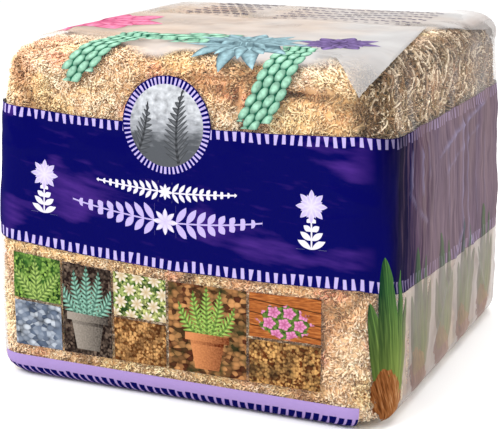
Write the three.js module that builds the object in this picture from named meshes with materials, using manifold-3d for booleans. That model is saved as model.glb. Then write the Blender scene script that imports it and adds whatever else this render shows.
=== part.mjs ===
// A compressed bale of dried sphagnum moss in a clear film bag.
//
// Millimetres, +Z up, +Y to the back. The origin is the middle of the flat underside.
// Two pieces: the pressed moss, whose strands stand out of a lumpy core, and the film bag round it,
// whose top end is folded over the moss like a parcel.

import * as THREE from "three";
import { mergeVertices } from "three/addons/utils/BufferGeometryUtils.js";
import Module from "manifold-3d";

const wasm = await Module();
wasm.setup();

// ---------------------------------------------------------------- driving dimensions

const BALE = {
  width: 171.4, // between the side walls at mid height, before the bulge
  depth: 174.5, // front to back at mid height, before the bulge
  height: 143.2, // underside to the top of the film, without the flaps
  bulge: 1.9, // how far each wall swells at mid height
  taper: 4.2, // how much further out each wall stands at the bottom than at the top
  cornerRadius: 16, // upright edges
  cornerShrink: 0.35, // how much of a ring's inward set an upright edge's radius loses
  cornerLeast: 4,
  topRound: 14, // top edges, measured inwards
  topDrop: 11, // top edges, measured downwards
  bottomRound: 8,
};

const FILM = {
  wall: 0.6, // stouter than real film, which is about 0.1 mm
  around: 72, // points round the girth
  edgeSteps: 4, // rings in each rounded edge
  wallSteps: 5, // rings up the walls
  capSteps: 2, // rings across the top and the underside
  gap: 0.3, // between the film and the moss
  mouth: { length: 110, width: 1.6, depth: 3, behind: 8 }, // the slit, this far under the front flap's edge
};

const FLAP = {
  thick: 0.6,
  sink: 0.15, // how deep a flap is set into what it lies on
  halfWidth: 73, // the parcel fold leaves the flaps this far from the middle
  frontReach: 12, // the front flap's free edge, behind the middle
  backReach: -8, // the back flap's free edge, in front of the middle
  lift: 0.45, // the mouth's gap between the two flaps
  climbBefore: 9, // the front flap starts to climb this far in front of the back flap's free edge
  climb: 7, // how far its climb reaches
  rootShare: 0.15, // the share of a flap's run in which its root sinks into the film
  frontRoot: 0.54, // how much deeper the front flap's root is
  backRoot: 0.36,
  across: 10, // faces across a flap
  frontSteps: 14, // faces along each flap
  backSteps: 8,
};

const TIP = {
  drop: 17, // how far the folded corner hangs down the front
  width: 34,
  point: 1.2, // how wide its lowest end is
  flare: 3, // how far its lowest end stands out to the side
  root: 10, // how far it reaches over the flat top
  lift: 0.4, // the share of its thickness that it stands above the flap
  steps: 8,
  across: 3,
};

const MOSS = {
  seed: 20417,
  around: 56,
  inset: 5, // the core's mean surface, inside the film's outer face
  clumps: 90,
  clumpReach: 26, // from a clump's middle to where it is level with the mean
  swell: 1.6, // how far a clump's middle stands above the mean
  crease: 4.5, // how deep the creases between clumps are
  creaseWidth: 7,
  shoulder: 9, // extra rounding of the moss at its top edges
  strands: 165,
  strandSteps: 3, // straight runs in a strand
  length: { least: 24, spread: 22 },
  width: { least: 3.2, spread: 1.6 },
  bend: 2.2, // the most that a strand turns from end to end, in radians
  end: 0.55, // the share of its width that a strand has at its ends
  halfWide: 0.6, // a strand's half width and half thickness, as shares of its width
  halfThick: 0.36,
  crown: 2.9, // a strand's middle, above the mean surface
  root: 2, // how deep its two ends are sunk into the core
  finest: 0.05, // slivers thinner than this, left where strands cross, are cleared away
};

// Two irrational steps that spread places evenly over a square.
const SPREAD = [0.7548776662, 0.569840291];
// The power that decides how square the bale is where its outward direction is worked out.
const SQUARENESS = 9;

const COLOUR = { moss: 0xd9b98a, film: 0x2a1c78 };

// ---------------------------------------------------------------- small helpers

const clamp = (x, low, high) => Math.min(high, Math.max(low, x));
const fraction = (x) => x - Math.floor(x);

// A repeatable random number source.
function seeded(seed) {
  let state = seed >>> 0;
  return () => {
    state = (state + 0x6d2b79f5) >>> 0;
    let t = Math.imul(state ^ (state >>> 15), 1 | state);
    t = (t + Math.imul(t ^ (t >>> 7), 61 | t)) ^ t;
    return ((t ^ (t >>> 14)) >>> 0) / 4294967296;
  };
}

// A closed mesh as a manifold-3d solid.
function solid(geometry) {
  const bare = geometry.clone();
  bare.deleteAttribute("normal");
  bare.deleteAttribute("uv");
  const merged = mergeVertices(bare, 1e-4);
  return new wasm.Manifold(
    new wasm.Mesh({
      numProp: 3,
      vertProperties: new Float32Array(merged.attributes.position.array),
      triVerts: new Uint32Array(merged.index.array),
    }),
  );
}

// A manifold-3d solid as a geometry with flat faces.
function geometryOf(made) {
  const mesh = made.getMesh();
  const geometry = new THREE.BufferGeometry();
  geometry.setAttribute("position", new THREE.BufferAttribute(mesh.vertProperties, 3));
  geometry.setIndex(new THREE.BufferAttribute(mesh.triVerts, 1));
  const flat = geometry.toNonIndexed();
  flat.computeVertexNormals();
  return flat;
}

// The geometry of points and triangles given as plain lists.
function meshOf(points, triangles) {
  const geometry = new THREE.BufferGeometry();
  geometry.setAttribute("position", new THREE.Float32BufferAttribute(points.flat(), 3));
  geometry.setIndex(triangles.flat());
  return geometry;
}

// ---------------------------------------------------------------- the bale's outer form

// How far the walls stand out of their mid-height place, at height z.
function wallSwell(z) {
  const up = clamp(z / BALE.height, 0, 1);
  return BALE.bulge * (1 - (2 * up - 1) ** 2) - BALE.taper * (up - 0.5);
}

// The point at share u round a rectangle with round corners, anticlockwise from the middle of the front.
function roundedRectangle(halfX, halfY, radius, u) {
  const straightX = 2 * (halfX - radius);
  const straightY = 2 * (halfY - radius);
  const arc = (Math.PI / 2) * radius;
  const girth = 2 * (straightX + straightY) + 4 * arc;
  let along = fraction(u) * girth + straightX / 2;
  // Each side is its straight run and then the corner that ends it.
  const sides = [
    { length: straightX, from: [-1, -1], step: [1, 0], turn: -90 },
    { length: straightY, from: [1, -1], step: [0, 1], turn: 0 },
    { length: straightX, from: [1, 1], step: [-1, 0], turn: 90 },
    { length: straightY, from: [-1, 1], step: [0, -1], turn: 180 },
  ];
  for (let i = 0; ; i = (i + 1) % 4) {
    const { length, from, step, turn } = sides[i];
    const centre = [from[0] * (halfX - radius), from[1] * (halfY - radius)];
    if (along <= length) {
      const out = THREE.MathUtils.degToRad(turn);
      return [
        centre[0] + step[0] * along + radius * Math.cos(out),
        centre[1] + step[1] * along + radius * Math.sin(out),
      ];
    }
    along -= length;
    if (along <= arc) {
      const angle = THREE.MathUtils.degToRad(turn) + along / radius;
      const next = [centre[0] + step[0] * length, centre[1] + step[1] * length];
      return [next[0] + radius * Math.cos(angle), next[1] + radius * Math.sin(angle)];
    }
    along -= arc;
  }
}

// The rings from the middle of the underside to the middle of the top, at a depth below the outer face.
// Each ring is a height, an inward set from the wall and a share of the full outline for the flat caps.
function profile(depth, { edgeSteps, wallSteps, capSteps }, shoulder = 0) {
  const rings = [];
  const low = depth;
  const high = BALE.height - depth;
  const bottom = BALE.bottomRound;
  const round = BALE.topRound + shoulder;
  const drop = BALE.topDrop + shoulder;
  for (let i = 1; i <= capSteps; i++) rings.push({ z: low, set: bottom, share: i / capSteps });
  for (let i = 1; i <= edgeSteps; i++) {
    const a = (Math.PI / 2) * (i / edgeSteps);
    rings.push({ z: low + bottom * (1 - Math.cos(a)), set: bottom * (1 - Math.sin(a)), share: 1 });
  }
  const from = low + bottom;
  const to = high - drop;
  for (let i = 1; i <= wallSteps; i++) {
    rings.push({ z: from + ((to - from) * i) / wallSteps, set: 0, share: 1 });
  }
  for (let i = 1; i <= edgeSteps; i++) {
    const a = (Math.PI / 2) * (i / edgeSteps);
    rings.push({ z: to + drop * Math.sin(a), set: round * (1 - Math.cos(a)), share: 1 });
  }
  for (let i = capSteps - 1; i >= 1; i--) rings.push({ z: high, set: round, share: i / capSteps });
  return { rings, low, high };
}

function ringPoint({ z, set, share }, depth, u) {
  const halfX = BALE.width / 2 + wallSwell(z) - depth - set;
  const halfY = BALE.depth / 2 + wallSwell(z) - depth - set;
  const radius = Math.max(BALE.cornerRadius - depth - BALE.cornerShrink * set, BALE.cornerLeast);
  const [x, y] = roundedRectangle(halfX, halfY, radius, u);
  return [x * share, y * share, z];
}

// A closed body of rings with a point in the middle of each end. relief moves a point, if it is given.
function baleBody(depth, around, steps, shoulder, relief = (p) => p) {
  const { rings, low, high } = profile(depth, steps, shoulder);
  const points = [relief([0, 0, low])];
  for (const ring of rings)
    for (let i = 0; i < around; i++) points.push(relief(ringPoint(ring, depth, i / around)));
  points.push(relief([0, 0, high]));
  const at = (ring, i) => 1 + ring * around + (i % around);
  const last = points.length - 1;
  const triangles = [];
  for (let i = 0; i < around; i++) {
    triangles.push([0, at(0, i + 1), at(0, i)]);
    for (let r = 0; r + 1 < rings.length; r++) {
      triangles.push([at(r, i), at(r, i + 1), at(r + 1, i + 1)]);
      triangles.push([at(r, i), at(r + 1, i + 1), at(r + 1, i)]);
    }
    triangles.push([last, at(rings.length - 1, i), at(rings.length - 1, i + 1)]);
  }
  return meshOf(points, triangles);
}

// ---------------------------------------------------------------- the film bag

// The film's outer face over the top, at a place x across and a distance t from the middle towards the
// back. Past the flat top, t follows the rounded edge and then runs down the wall. Returns place and normal.
function overTop(x, t, out) {
  const edge = BALE.depth / 2 + wallSwell(BALE.height) - BALE.topRound;
  const side = Math.sign(t) || 1;
  const past = Math.abs(t) - edge;
  if (past <= 0) return [x, t, BALE.height + out];
  const quarter = ((BALE.topRound + BALE.topDrop) / 2) * (Math.PI / 2);
  const a = clamp(past / quarter, 0, 1) * (Math.PI / 2);
  const down = Math.max(past - quarter, 0);
  const z = BALE.height - BALE.topDrop * (1 - Math.cos(a)) - down;
  const halfY = BALE.depth / 2 + wallSwell(z) - BALE.topRound * (1 - Math.sin(a));
  return [x, side * (halfY + out * Math.sin(a)), z + out * Math.cos(a)];
}

// A sheet lying over the top. outline(s) gives its left and right edge at the share s of its run, and
// under(s) the height of its lower face above the film.
function flap({ from, to, steps, across, outline, under }) {
  const points = [];
  const layer = (above) => {
    for (let i = 0; i <= steps; i++) {
      const s = i / steps;
      const t = from + (to - from) * s;
      const [left, right] = outline(s);
      for (let j = 0; j <= across; j++) {
        const x = left + ((right - left) * j) / across;
        points.push(overTop(x, t, under(s) + above));
      }
    }
  };
  layer(0);
  layer(FLAP.thick);
  const row = across + 1;
  const top = row * (steps + 1);
  const at = (i, j, up) => up * top + i * row + j;
  const triangles = [];
  for (let i = 0; i < steps; i++)
    for (let j = 0; j < across; j++) {
      triangles.push([at(i, j, 1), at(i, j + 1, 1), at(i + 1, j + 1, 1)]);
      triangles.push([at(i, j, 1), at(i + 1, j + 1, 1), at(i + 1, j, 1)]);
      triangles.push([at(i, j, 0), at(i + 1, j + 1, 0), at(i, j + 1, 0)]);
      triangles.push([at(i, j, 0), at(i + 1, j, 0), at(i + 1, j + 1, 0)]);
    }
  for (let j = 0; j < across; j++)
    for (const [i, flip] of [
      [0, false],
      [steps, true],
    ]) {
      const quad = [at(i, j, 0), at(i, j + 1, 0), at(i, j + 1, 1), at(i, j, 1)];
      if (flip) quad.reverse();
      triangles.push([quad[0], quad[1], quad[2]], [quad[0], quad[2], quad[3]]);
    }
  for (let i = 0; i < steps; i++)
    for (const [j, flip] of [
      [0, true],
      [across, false],
    ]) {
      const quad = [at(i, j, 0), at(i + 1, j, 0), at(i + 1, j, 1), at(i, j, 1)];
      if (flip) quad.reverse();
      triangles.push([quad[0], quad[1], quad[2]], [quad[0], quad[2], quad[3]]);
    }
  return meshOf(points, triangles);
}

function filmBag() {
  const outer = solid(baleBody(0, FILM.around, FILM, 0));
  const inner = solid(baleBody(FILM.wall, FILM.around, FILM, 0));

  // The back flap lies on the film. The front flap lies over its free edge, a little clear of it.
  const frontEdge = BALE.depth / 2 + wallSwell(BALE.height) - BALE.topRound;
  const frontStart = -frontEdge - BALE.topDrop;
  // How far into its root a flap is, at a share of its run from that end: 1 at the very end.
  const rootAt = (share) => Math.max(0, 1 - share / FLAP.rootShare);
  const straight = () => [-FLAP.halfWidth, FLAP.halfWidth];
  const back = solid(
    flap({
      from: FLAP.backReach,
      to: frontEdge + BALE.topDrop,
      steps: FLAP.backSteps,
      across: FLAP.across,
      outline: straight,
      under: (s) => -FLAP.sink - FLAP.backRoot * rootAt(1 - s),
    }),
  );
  const onBack = FLAP.thick - FLAP.sink + FLAP.lift;
  const front = solid(
    flap({
      from: frontStart,
      to: FLAP.frontReach,
      steps: FLAP.frontSteps,
      across: FLAP.across,
      outline: straight,
      under: (s) => {
        const t = frontStart + (FLAP.frontReach - frontStart) * s;
        const rise = clamp((t - FLAP.backReach + FLAP.climbBefore) / FLAP.climb, 0, 1);
        return -FLAP.sink - FLAP.frontRoot * rootAt(s) + rise * (onBack + FLAP.sink);
      },
    }),
  );
  // The folded corner hangs over the front edge as a tip, at the right-hand end of the front flap.
  const tip = solid(
    flap({
      from: frontStart - TIP.drop,
      to: -frontEdge + TIP.root,
      steps: TIP.steps,
      across: TIP.across,
      outline: (s) => {
        const right = FLAP.halfWidth + TIP.flare * (1 - s);
        return [right - TIP.point - TIP.width * s, right];
      },
      under: () => TIP.lift * FLAP.thick - FLAP.sink,
    }),
  );

  // The bag's mouth: a slit in the film and the back flap, under the front flap.
  const { length, width, depth, behind } = FILM.mouth;
  const slit = new THREE.BoxGeometry(length, width, depth);
  const mouth = solid(slit.translate(0, FLAP.frontReach - behind, BALE.height));
  const bag = outer.subtract(inner).add(back).subtract(mouth).add(front).add(tip);
  return bag.subtract(inner);
}

// ---------------------------------------------------------------- the pressed moss

// The clumps' middles, spread evenly over the bale.
const clumpMiddles = Array.from({ length: MOSS.clumps }, (_, i) => {
  const u = fraction(0.5 + (i + 1) * SPREAD[0]);
  const v = fraction(0.5 + (i + 1) * SPREAD[1]);
  return surfacePlace(u, v, 0);
});

// A place on the bale: u round the girth and v from the middle of the underside to the middle of the top.
// Equal steps of v cover equal areas.
function surfacePlace(u, v, depth) {
  const cap = BALE.width * BALE.depth;
  const wall = 2 * (BALE.width + BALE.depth) * BALE.height;
  const along = v * (2 * cap + wall);
  if (along < cap)
    return ringPoint({ z: depth, set: BALE.bottomRound, share: Math.sqrt(along / cap) }, depth, u);
  if (along > cap + wall) {
    const share = Math.sqrt((2 * cap + wall - along) / cap);
    return ringPoint({ z: BALE.height - depth, set: BALE.topRound, share }, depth, u);
  }
  const z = clamp((BALE.height * (along - cap)) / wall, depth, BALE.height - depth);
  return ringPoint({ z, set: 0, share: 1 }, depth, u);
}

// How far the moss stands above its mean surface at a point: full over a clump, sunk in a crease.
function clumpRelief([x, y, z]) {
  let nearest = Infinity;
  let second = Infinity;
  for (const [cx, cy, cz] of clumpMiddles) {
    const d = Math.hypot(x - cx, y - cy, z - cz);
    if (d < nearest) [nearest, second] = [d, nearest];
    else if (d < second) second = d;
  }
  const crease = Math.exp(-(((second - nearest) / MOSS.creaseWidth) ** 2));
  return MOSS.swell * (1 - (nearest / MOSS.clumpReach) ** 2) - MOSS.crease * crease;
}

// The direction out of the bale at a point, as on a body whose sides round off towards its edges.
function outward([x, y, z]) {
  const n = new THREE.Vector3(
    (x / (BALE.width / 2)) ** SQUARENESS,
    (y / (BALE.depth / 2)) ** SQUARENESS,
    ((z - BALE.height / 2) / (BALE.height / 2)) ** SQUARENESS,
  );
  return n.normalize();
}

function shifted(point, distance) {
  const n = outward(point);
  return [point[0] + n.x * distance, point[1] + n.y * distance, point[2] + n.z * distance];
}

// One strand: a three-sided rod along points, tapering to both ends.
function rod(points, widths) {
  const sides = 3;
  const rings = points.map((p, i) => {
    const next = points[Math.min(i + 1, points.length - 1)];
    const last = points[Math.max(i - 1, 0)];
    const along = new THREE.Vector3(...next).sub(new THREE.Vector3(...last)).normalize();
    const up = outward(p);
    const side = new THREE.Vector3().crossVectors(along, up).normalize();
    const lift = new THREE.Vector3().crossVectors(side, along).normalize();
    return Array.from({ length: sides }, (_, k) => {
      const a = (2 * Math.PI * k) / sides + Math.PI / 2;
      return new THREE.Vector3(...p)
        .addScaledVector(side, widths[i] * MOSS.halfWide * Math.cos(a))
        .addScaledVector(lift, widths[i] * MOSS.halfThick * Math.sin(a))
        .toArray();
    });
  });
  const flat = rings.flat();
  const triangles = [];
  for (let i = 0; i + 1 < rings.length; i++)
    for (let k = 0; k < sides; k++) {
      const a = i * sides + k;
      const b = i * sides + ((k + 1) % sides);
      triangles.push([a, a + sides, b + sides], [a, b + sides, b]);
    }
  triangles.push([0, 1, 2]);
  const end = (rings.length - 1) * sides;
  triangles.push([end, end + 2, end + 1]);
  return meshOf(flat, triangles);
}

function mossBlock() {
  const random = seeded(MOSS.seed);
  const steps = { edgeSteps: 3, wallSteps: 10, capSteps: 5 };
  const relief = (p) => shifted(p, p[2] <= MOSS.inset + 0.01 ? 0 : clumpRelief(p));
  const core = solid(baleBody(MOSS.inset, MOSS.around, steps, MOSS.shoulder, relief));

  const strands = [];
  for (let i = 0; i < MOSS.strands; i++) {
    const u = fraction((i + 1) * SPREAD[0]);
    const v = fraction((i + 1) * SPREAD[1]);
    const start = new THREE.Vector3(...surfacePlace(u, v, MOSS.inset));
    const up = outward(start.toArray());
    // Any direction along the surface, before it is turned by chance.
    const across = new THREE.Vector3(0.3, 0.5, 0.81).cross(up).normalize();
    const heading = across.applyAxisAngle(up, random() * 2 * Math.PI);
    const bend = (random() - 0.5) * MOSS.bend;
    const length = MOSS.length.least + MOSS.length.spread * random();
    const width = MOSS.width.least + MOSS.width.spread * random();
    const segments = MOSS.strandSteps;
    const points = [];
    const widths = [];
    const place = start.clone();
    for (let k = 0; k <= segments; k++) {
      const s = k / segments;
      const here = nearestPlace(place.toArray());
      const arch = Math.sin(Math.PI * s);
      const low = clumpRelief(here) - MOSS.root;
      points.push(shifted(here, low + (MOSS.crown - low) * arch));
      widths.push(width * (MOSS.end + (1 - MOSS.end) * arch));
      const turned = heading.clone().applyAxisAngle(outward(here), bend * (s - 0.5));
      place.addScaledVector(turned, length / segments);
    }
    strands.push(solid(rod(points, widths)));
  }
  const limit = solid(baleBody(FILM.wall + FILM.gap, FILM.around, FILM, 0));
  const whole = wasm.Manifold.union([core, ...strands]).intersect(limit).setTolerance(MOSS.finest);
  // The largest closed skin is the moss itself. The others are pockets shut in under crossing strands.
  return whole.decompose().reduce((best, skin) => (skin.volume() > best.volume() ? skin : best));
}

// The point of the core's mean surface below or above a given point.
function nearestPlace([x, y, z]) {
  const height = clamp(z, MOSS.inset, BALE.height - MOSS.inset);
  const halfX = BALE.width / 2 + wallSwell(height) - MOSS.inset;
  const halfY = BALE.depth / 2 + wallSwell(height) - MOSS.inset;
  const out = { x: Math.abs(x) / halfX, y: Math.abs(y) / halfY };
  const up = Math.abs(height - BALE.height / 2) / (BALE.height / 2 - MOSS.inset);
  const most = Math.max(out.x, out.y, up);
  if (most === out.x) return [Math.sign(x) * halfX, y, height];
  if (most === out.y) return [x, Math.sign(y) * halfY, height];
  return [x, y, z > BALE.height / 2 ? BALE.height - MOSS.inset : MOSS.inset];
}

// ---------------------------------------------------------------- the part

const bale = new THREE.Group();

function place(name, made, colour, roughness) {
  const material = new THREE.MeshStandardMaterial({ color: colour, roughness, metalness: 0 });
  const mesh = new THREE.Mesh(geometryOf(made), material);
  mesh.name = name;
  bale.add(mesh);
}

place("moss_block", mossBlock(), COLOUR.moss, 0.95);
place("film_bag", filmBag(), COLOUR.film, 0.25);

export default bale;
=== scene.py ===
"""The looks of a bale of dried sphagnum moss, pressed square and wrapped in a printed clear film bag.

All shapes are worked out in millimetres and put into the meshes in metres. A place on the bale is given by
two distances: along, round the girth from the middle of the front towards the right, and up, which is the
height on the walls and goes on over the rounded edges to the middles of the top and the underside.
"""
import math

import bpy
import numpy as np
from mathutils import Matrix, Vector


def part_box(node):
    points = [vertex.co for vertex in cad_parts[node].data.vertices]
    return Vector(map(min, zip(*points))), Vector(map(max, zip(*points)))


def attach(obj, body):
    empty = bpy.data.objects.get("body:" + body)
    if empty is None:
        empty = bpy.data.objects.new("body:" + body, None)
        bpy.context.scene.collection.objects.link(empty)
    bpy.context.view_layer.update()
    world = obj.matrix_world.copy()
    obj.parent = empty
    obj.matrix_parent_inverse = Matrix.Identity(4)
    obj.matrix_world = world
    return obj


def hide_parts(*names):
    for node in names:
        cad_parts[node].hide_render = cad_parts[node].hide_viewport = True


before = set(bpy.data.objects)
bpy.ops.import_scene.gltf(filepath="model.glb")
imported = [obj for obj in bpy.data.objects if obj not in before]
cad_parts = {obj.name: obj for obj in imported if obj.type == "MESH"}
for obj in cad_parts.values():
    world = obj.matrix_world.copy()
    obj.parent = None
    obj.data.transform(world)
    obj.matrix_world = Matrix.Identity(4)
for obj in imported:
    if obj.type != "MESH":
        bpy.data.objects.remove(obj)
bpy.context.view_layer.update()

# ---------------------------------------------------------------- sizes, in millimetres

MM = 0.001
BAG_LOW, BAG_HIGH = (np.array(corner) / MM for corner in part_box("film_bag"))

BULGE, TAPER = 1.9, 4.2  # how far the walls swell at mid height, and lean in from bottom to top
WIDEST = 2.48  # the most that both together add to a half width
FLAPS = 1.5  # the folded top's layers, on top of the film
HEIGHT = BAG_HIGH[2] - FLAPS
HALF_X = (BAG_HIGH[0] - BAG_LOW[0]) / 2 - WIDEST
HALF_Y = (BAG_HIGH[1] - BAG_LOW[1]) / 2 - WIDEST
CORNER = 16.0  # radius of the upright edges
CORNER_SHRINK, CORNER_LEAST = 0.35, 4  # that radius shrinks with a ring's inset, down to a least value
TOP_ROUND, TOP_DROP, BOTTOM_ROUND = 14.0, 11.0, 8.0  # the top edge's two radii and the bottom edge's one
FLAT_X, FLAT_Y = HALF_X - CORNER, HALF_Y - CORNER
GIRTH = 4 * (FLAT_X + FLAT_Y) + 2 * math.pi * CORNER
RIGHT = GIRTH / 4  # the middle of the right wall

BAND_LOW, BAND_HIGH = 56.0, 113.5  # the printed band, in the print's own height
STRIP_LOW, STRIP_HIGH, STRIP_ENDS = -4, 10.3, (-81, 76)  # the toothed strip along the foot
TOOTH_PITCH = GIRTH / 196

rng = np.random.default_rng(4817)


def smooth(low, high, x):
    """Runs from 0 at low to 1 at high, level at both ends."""
    t = np.clip((x - low) / (high - low), 0, 1)
    return t * t * (3 - 2 * t)


# ---------------------------------------------------------------- the form of the bale


def profile_table(steps=60):
    """The bale's upright section as columns: up, z, inset and share. It runs from the middle of the
    underside along the flat, a quarter circle, the wall, a quarter ellipse and the flat top. Inset is how
    far a ring lies inside the wall, and share scales a ring down on the two flats. Up is the running
    length, and equals z on the wall."""
    quarter = np.linspace(0, math.pi / 2, steps)
    flat = np.linspace(0, 1, steps)
    zero, one = np.zeros(steps), np.ones(steps)
    z = [zero, BOTTOM_ROUND * (1 - np.cos(quarter)), [HEIGHT / 2]]
    inset = [zero + BOTTOM_ROUND, BOTTOM_ROUND * (1 - np.sin(quarter)), [0]]
    share = [flat, one, [1]]
    z += [HEIGHT - TOP_DROP * (1 - np.sin(quarter)), zero + HEIGHT]
    inset += [TOP_ROUND * (1 - np.cos(quarter)), zero + TOP_ROUND]
    share += [one, 1 - flat]
    z, inset, share = (np.concatenate(part) for part in (z, inset, share))
    length = np.hypot(np.diff((HALF_X - inset) * share), np.diff(z))
    up = np.concatenate([[0], np.cumsum(length)])
    middle = 2 * steps
    return up - up[middle] + z[middle], z, inset, share


UP, UP_Z, UP_INSET, UP_SHARE = profile_table()
UNDERSIDE, TOP = UP[0], UP[-1]
TOP_RIM = float(np.interp(-1.0, -UP_SHARE[UP > HEIGHT / 2], UP[UP > HEIGHT / 2]))


def swell(z):
    """How far the wall stands outside its plain half size at a height: a parabola's bulge and a taper."""
    rise = np.clip(z / HEIGHT, 0, 1)
    return BULGE * (1 - (2 * rise - 1) ** 2) - TAPER * (rise - 0.5)


RIM_Y = HALF_Y + swell(HEIGHT) - TOP_ROUND  # half the flat top's depth


def corner_radius(inset):
    """The radius of a ring's corners, which is smaller on the rings that draw in."""
    return np.maximum(CORNER - CORNER_SHRINK * inset, CORNER_LEAST)


def girth_knots():
    """The rounded rectangle's skeleton: at each distance along, the corner's centre and the way it faces."""
    arc = CORNER * math.pi / 2
    runs = [FLAT_X, arc, 2 * FLAT_Y, arc, 2 * FLAT_X, arc, 2 * FLAT_Y, arc, FLAT_X]
    along = np.concatenate([[0], np.cumsum(runs)])
    x = [0, 1, 1, 1, 1, -1, -1, -1, -1, 0]
    y = [-1, -1, -1, 1, 1, 1, 1, -1, -1, -1]
    facing = np.radians([-90, -90, 0, 0, 90, 90, 180, 180, 270, 270])
    return along, np.array(x, float), np.array(y, float), facing


ALONG, KNOT_X, KNOT_Y, KNOT_FACING = girth_knots()


def skin(along, up):
    """The bale's smooth outer form: points and outward normals at the given distances. A ring is a rounded
    rectangle that grows with swell, shrinks by the profile's inset and is scaled by its share."""
    along, up = np.broadcast_arrays(np.mod(along, GIRTH), up)
    z, inset, share = (np.interp(up, UP, column) for column in (UP_Z, UP_INSET, UP_SHARE))
    facing = np.interp(along, ALONG, KNOT_FACING)
    radius = corner_radius(inset)
    grow = swell(z) - inset
    out_x, out_y = np.cos(facing), np.sin(facing)
    x = np.interp(along, ALONG, KNOT_X) * (HALF_X + grow - radius) + radius * out_x
    y = np.interp(along, ALONG, KNOT_Y) * (HALF_Y + grow - radius) + radius * out_y
    low_turn = (z - BOTTOM_ROUND) / BOTTOM_ROUND
    high_turn = (z - HEIGHT + TOP_DROP) / TOP_DROP
    tilt = np.arcsin(np.clip(np.where(low_turn < 0, low_turn, np.maximum(high_turn, 0)), -1, 1))
    normal = np.stack([np.cos(tilt) * out_x, np.cos(tilt) * out_y, np.sin(tilt)], -1)
    return np.stack([x * share, y * share, z], -1), normal


# ---------------------------------------------------------------- noise, clumps and creases

LATTICE = rng.random(4096)
HASH = (73856093, 19349663, 83492791)  # a large prime for each axis
SEED_STEP = 17.3  # cells between the noises of two seeds
SPREAD = (0.7548776662, 0.569840291)  # two irrational steps that spread points evenly over a rectangle
CLUMP_MARGIN = 20.0  # least distance of a clump's middle from the poles
CHUNK = 20000  # points handled at once


def noise(points, size, seed=0):
    """Smooth value noise from 0 to 1: random values on a cubic lattice of the given size, blended between."""
    p = points / size + seed * SEED_STEP
    cell = np.floor(p).astype(np.int64)
    f = p - cell
    f = f * f * (3 - 2 * f)
    total = 0
    for corner in np.ndindex(2, 2, 2):
        at = cell + np.array(corner)
        key = (at[..., 0] * HASH[0]) ^ (at[..., 1] * HASH[1]) ^ (at[..., 2] * HASH[2])
        weight = np.prod(np.where(np.array(corner) == 1, f, 1 - f), -1)
        total = total + weight * LATTICE[key & (len(LATTICE) - 1)]
    return total


def rough(points, size, seed=0, octaves=3):
    """Noise summed over octaves, each half the size and half the height of the one before, from -1 to 1."""
    total = sum(0.5**k * (2 * noise(points, size / 2**k, seed + k) - 1) for k in range(octaves))
    return total / (2 - 0.5 ** (octaves - 1))


def clump_middles(count=72):
    """The middles of the moss's clumps, spread over the bale by the steps of SPREAD."""
    i = np.arange(count)
    along = GIRTH * np.mod(0.5 + i * SPREAD[0], 1)
    reach = TOP - UNDERSIDE - 2 * CLUMP_MARGIN
    up = UNDERSIDE + CLUMP_MARGIN + reach * np.mod(0.5 + i * SPREAD[1], 1)
    return skin(along, up)[0]


CLUMPS = clump_middles()


def crease_distance(points):
    """How far each point is from the border between its two nearest clumps. The borders are bent by noise,
    and the points are taken in chunks to save memory."""
    flat = points.reshape(-1, 3)
    flat = flat + 6 * np.stack([rough(flat, 18, 40 + k) for k in range(3)], -1)
    found = np.empty(len(flat))
    for start in range(0, len(flat), CHUNK):
        part = flat[start : start + CHUNK]
        away = np.sqrt(((part[:, None] - CLUMPS) ** 2).sum(-1))
        away.partition(1, axis=1)
        found[start : start + CHUNK] = (away[:, 1] - away[:, 0]) / 2
    return found.reshape(points.shape[:-1])


def crease_share(points):
    """How open a crease is, from 0 to 1, so that creases fade in and out along their run."""
    return smooth(0.32, 0.55, noise(points, 20, 61))


def shoulder(points):
    """How far the pressed moss draws back from the bag's top edges: hardly at all on most of them, more on
    the right one and most at the loose corner at the back right."""
    x, y, z = points[..., 0] / HALF_X, points[..., 1] / HALF_Y, points[..., 2] / HEIGHT
    edge = smooth(1.3, 2.4, np.abs(x) ** 5 + np.abs(y) ** 5 + np.clip(z, 0, 1) ** 6)
    loose = 3.4 * smooth(1.6, 1.9, x + y) * smooth(0.89, 0.96, z)
    return edge * (0.3 + 0.3 * smooth(0.7, 0.95, x) + loose)


def moss_depth(points):
    """How deep the moss lies under the film: shallow over a clump, deeper in the creases between clumps and
    in its lumps and hollows, with less relief low down, where the bale was pressed hardest."""
    x, z = points[..., 0], points[..., 2]
    free = (0.25 + 0.75 * smooth(60, 110, z)) * (1 - 0.6 * smooth(60, 76, x) * smooth(112, 136, z))
    border = crease_distance(points)
    crease = 3.2 * np.exp(-((border / 1.5) ** 2)) + 2.0 * np.exp(-((border / 6) ** 2))
    crease = crease * (0.25 + 0.75 * crease_share(points))
    lumps = 0.8 * (1 + rough(points, 16, 3)) + 0.45 * (1 + rough(points, 5, 5))
    return 1.85 - 0.4 * smooth(70, 110, z) + free * (crease + lumps) + shoulder(points)


def moss_skin(along, up):
    """The moss's surface under the film, with the film's own normals. It gives way to the film's grooves."""
    points, normals = skin(along, up)
    depth = moss_depth(points) + np.maximum(-fold_height(along, up), 0)
    return points - normals * depth[..., None], normals


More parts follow.
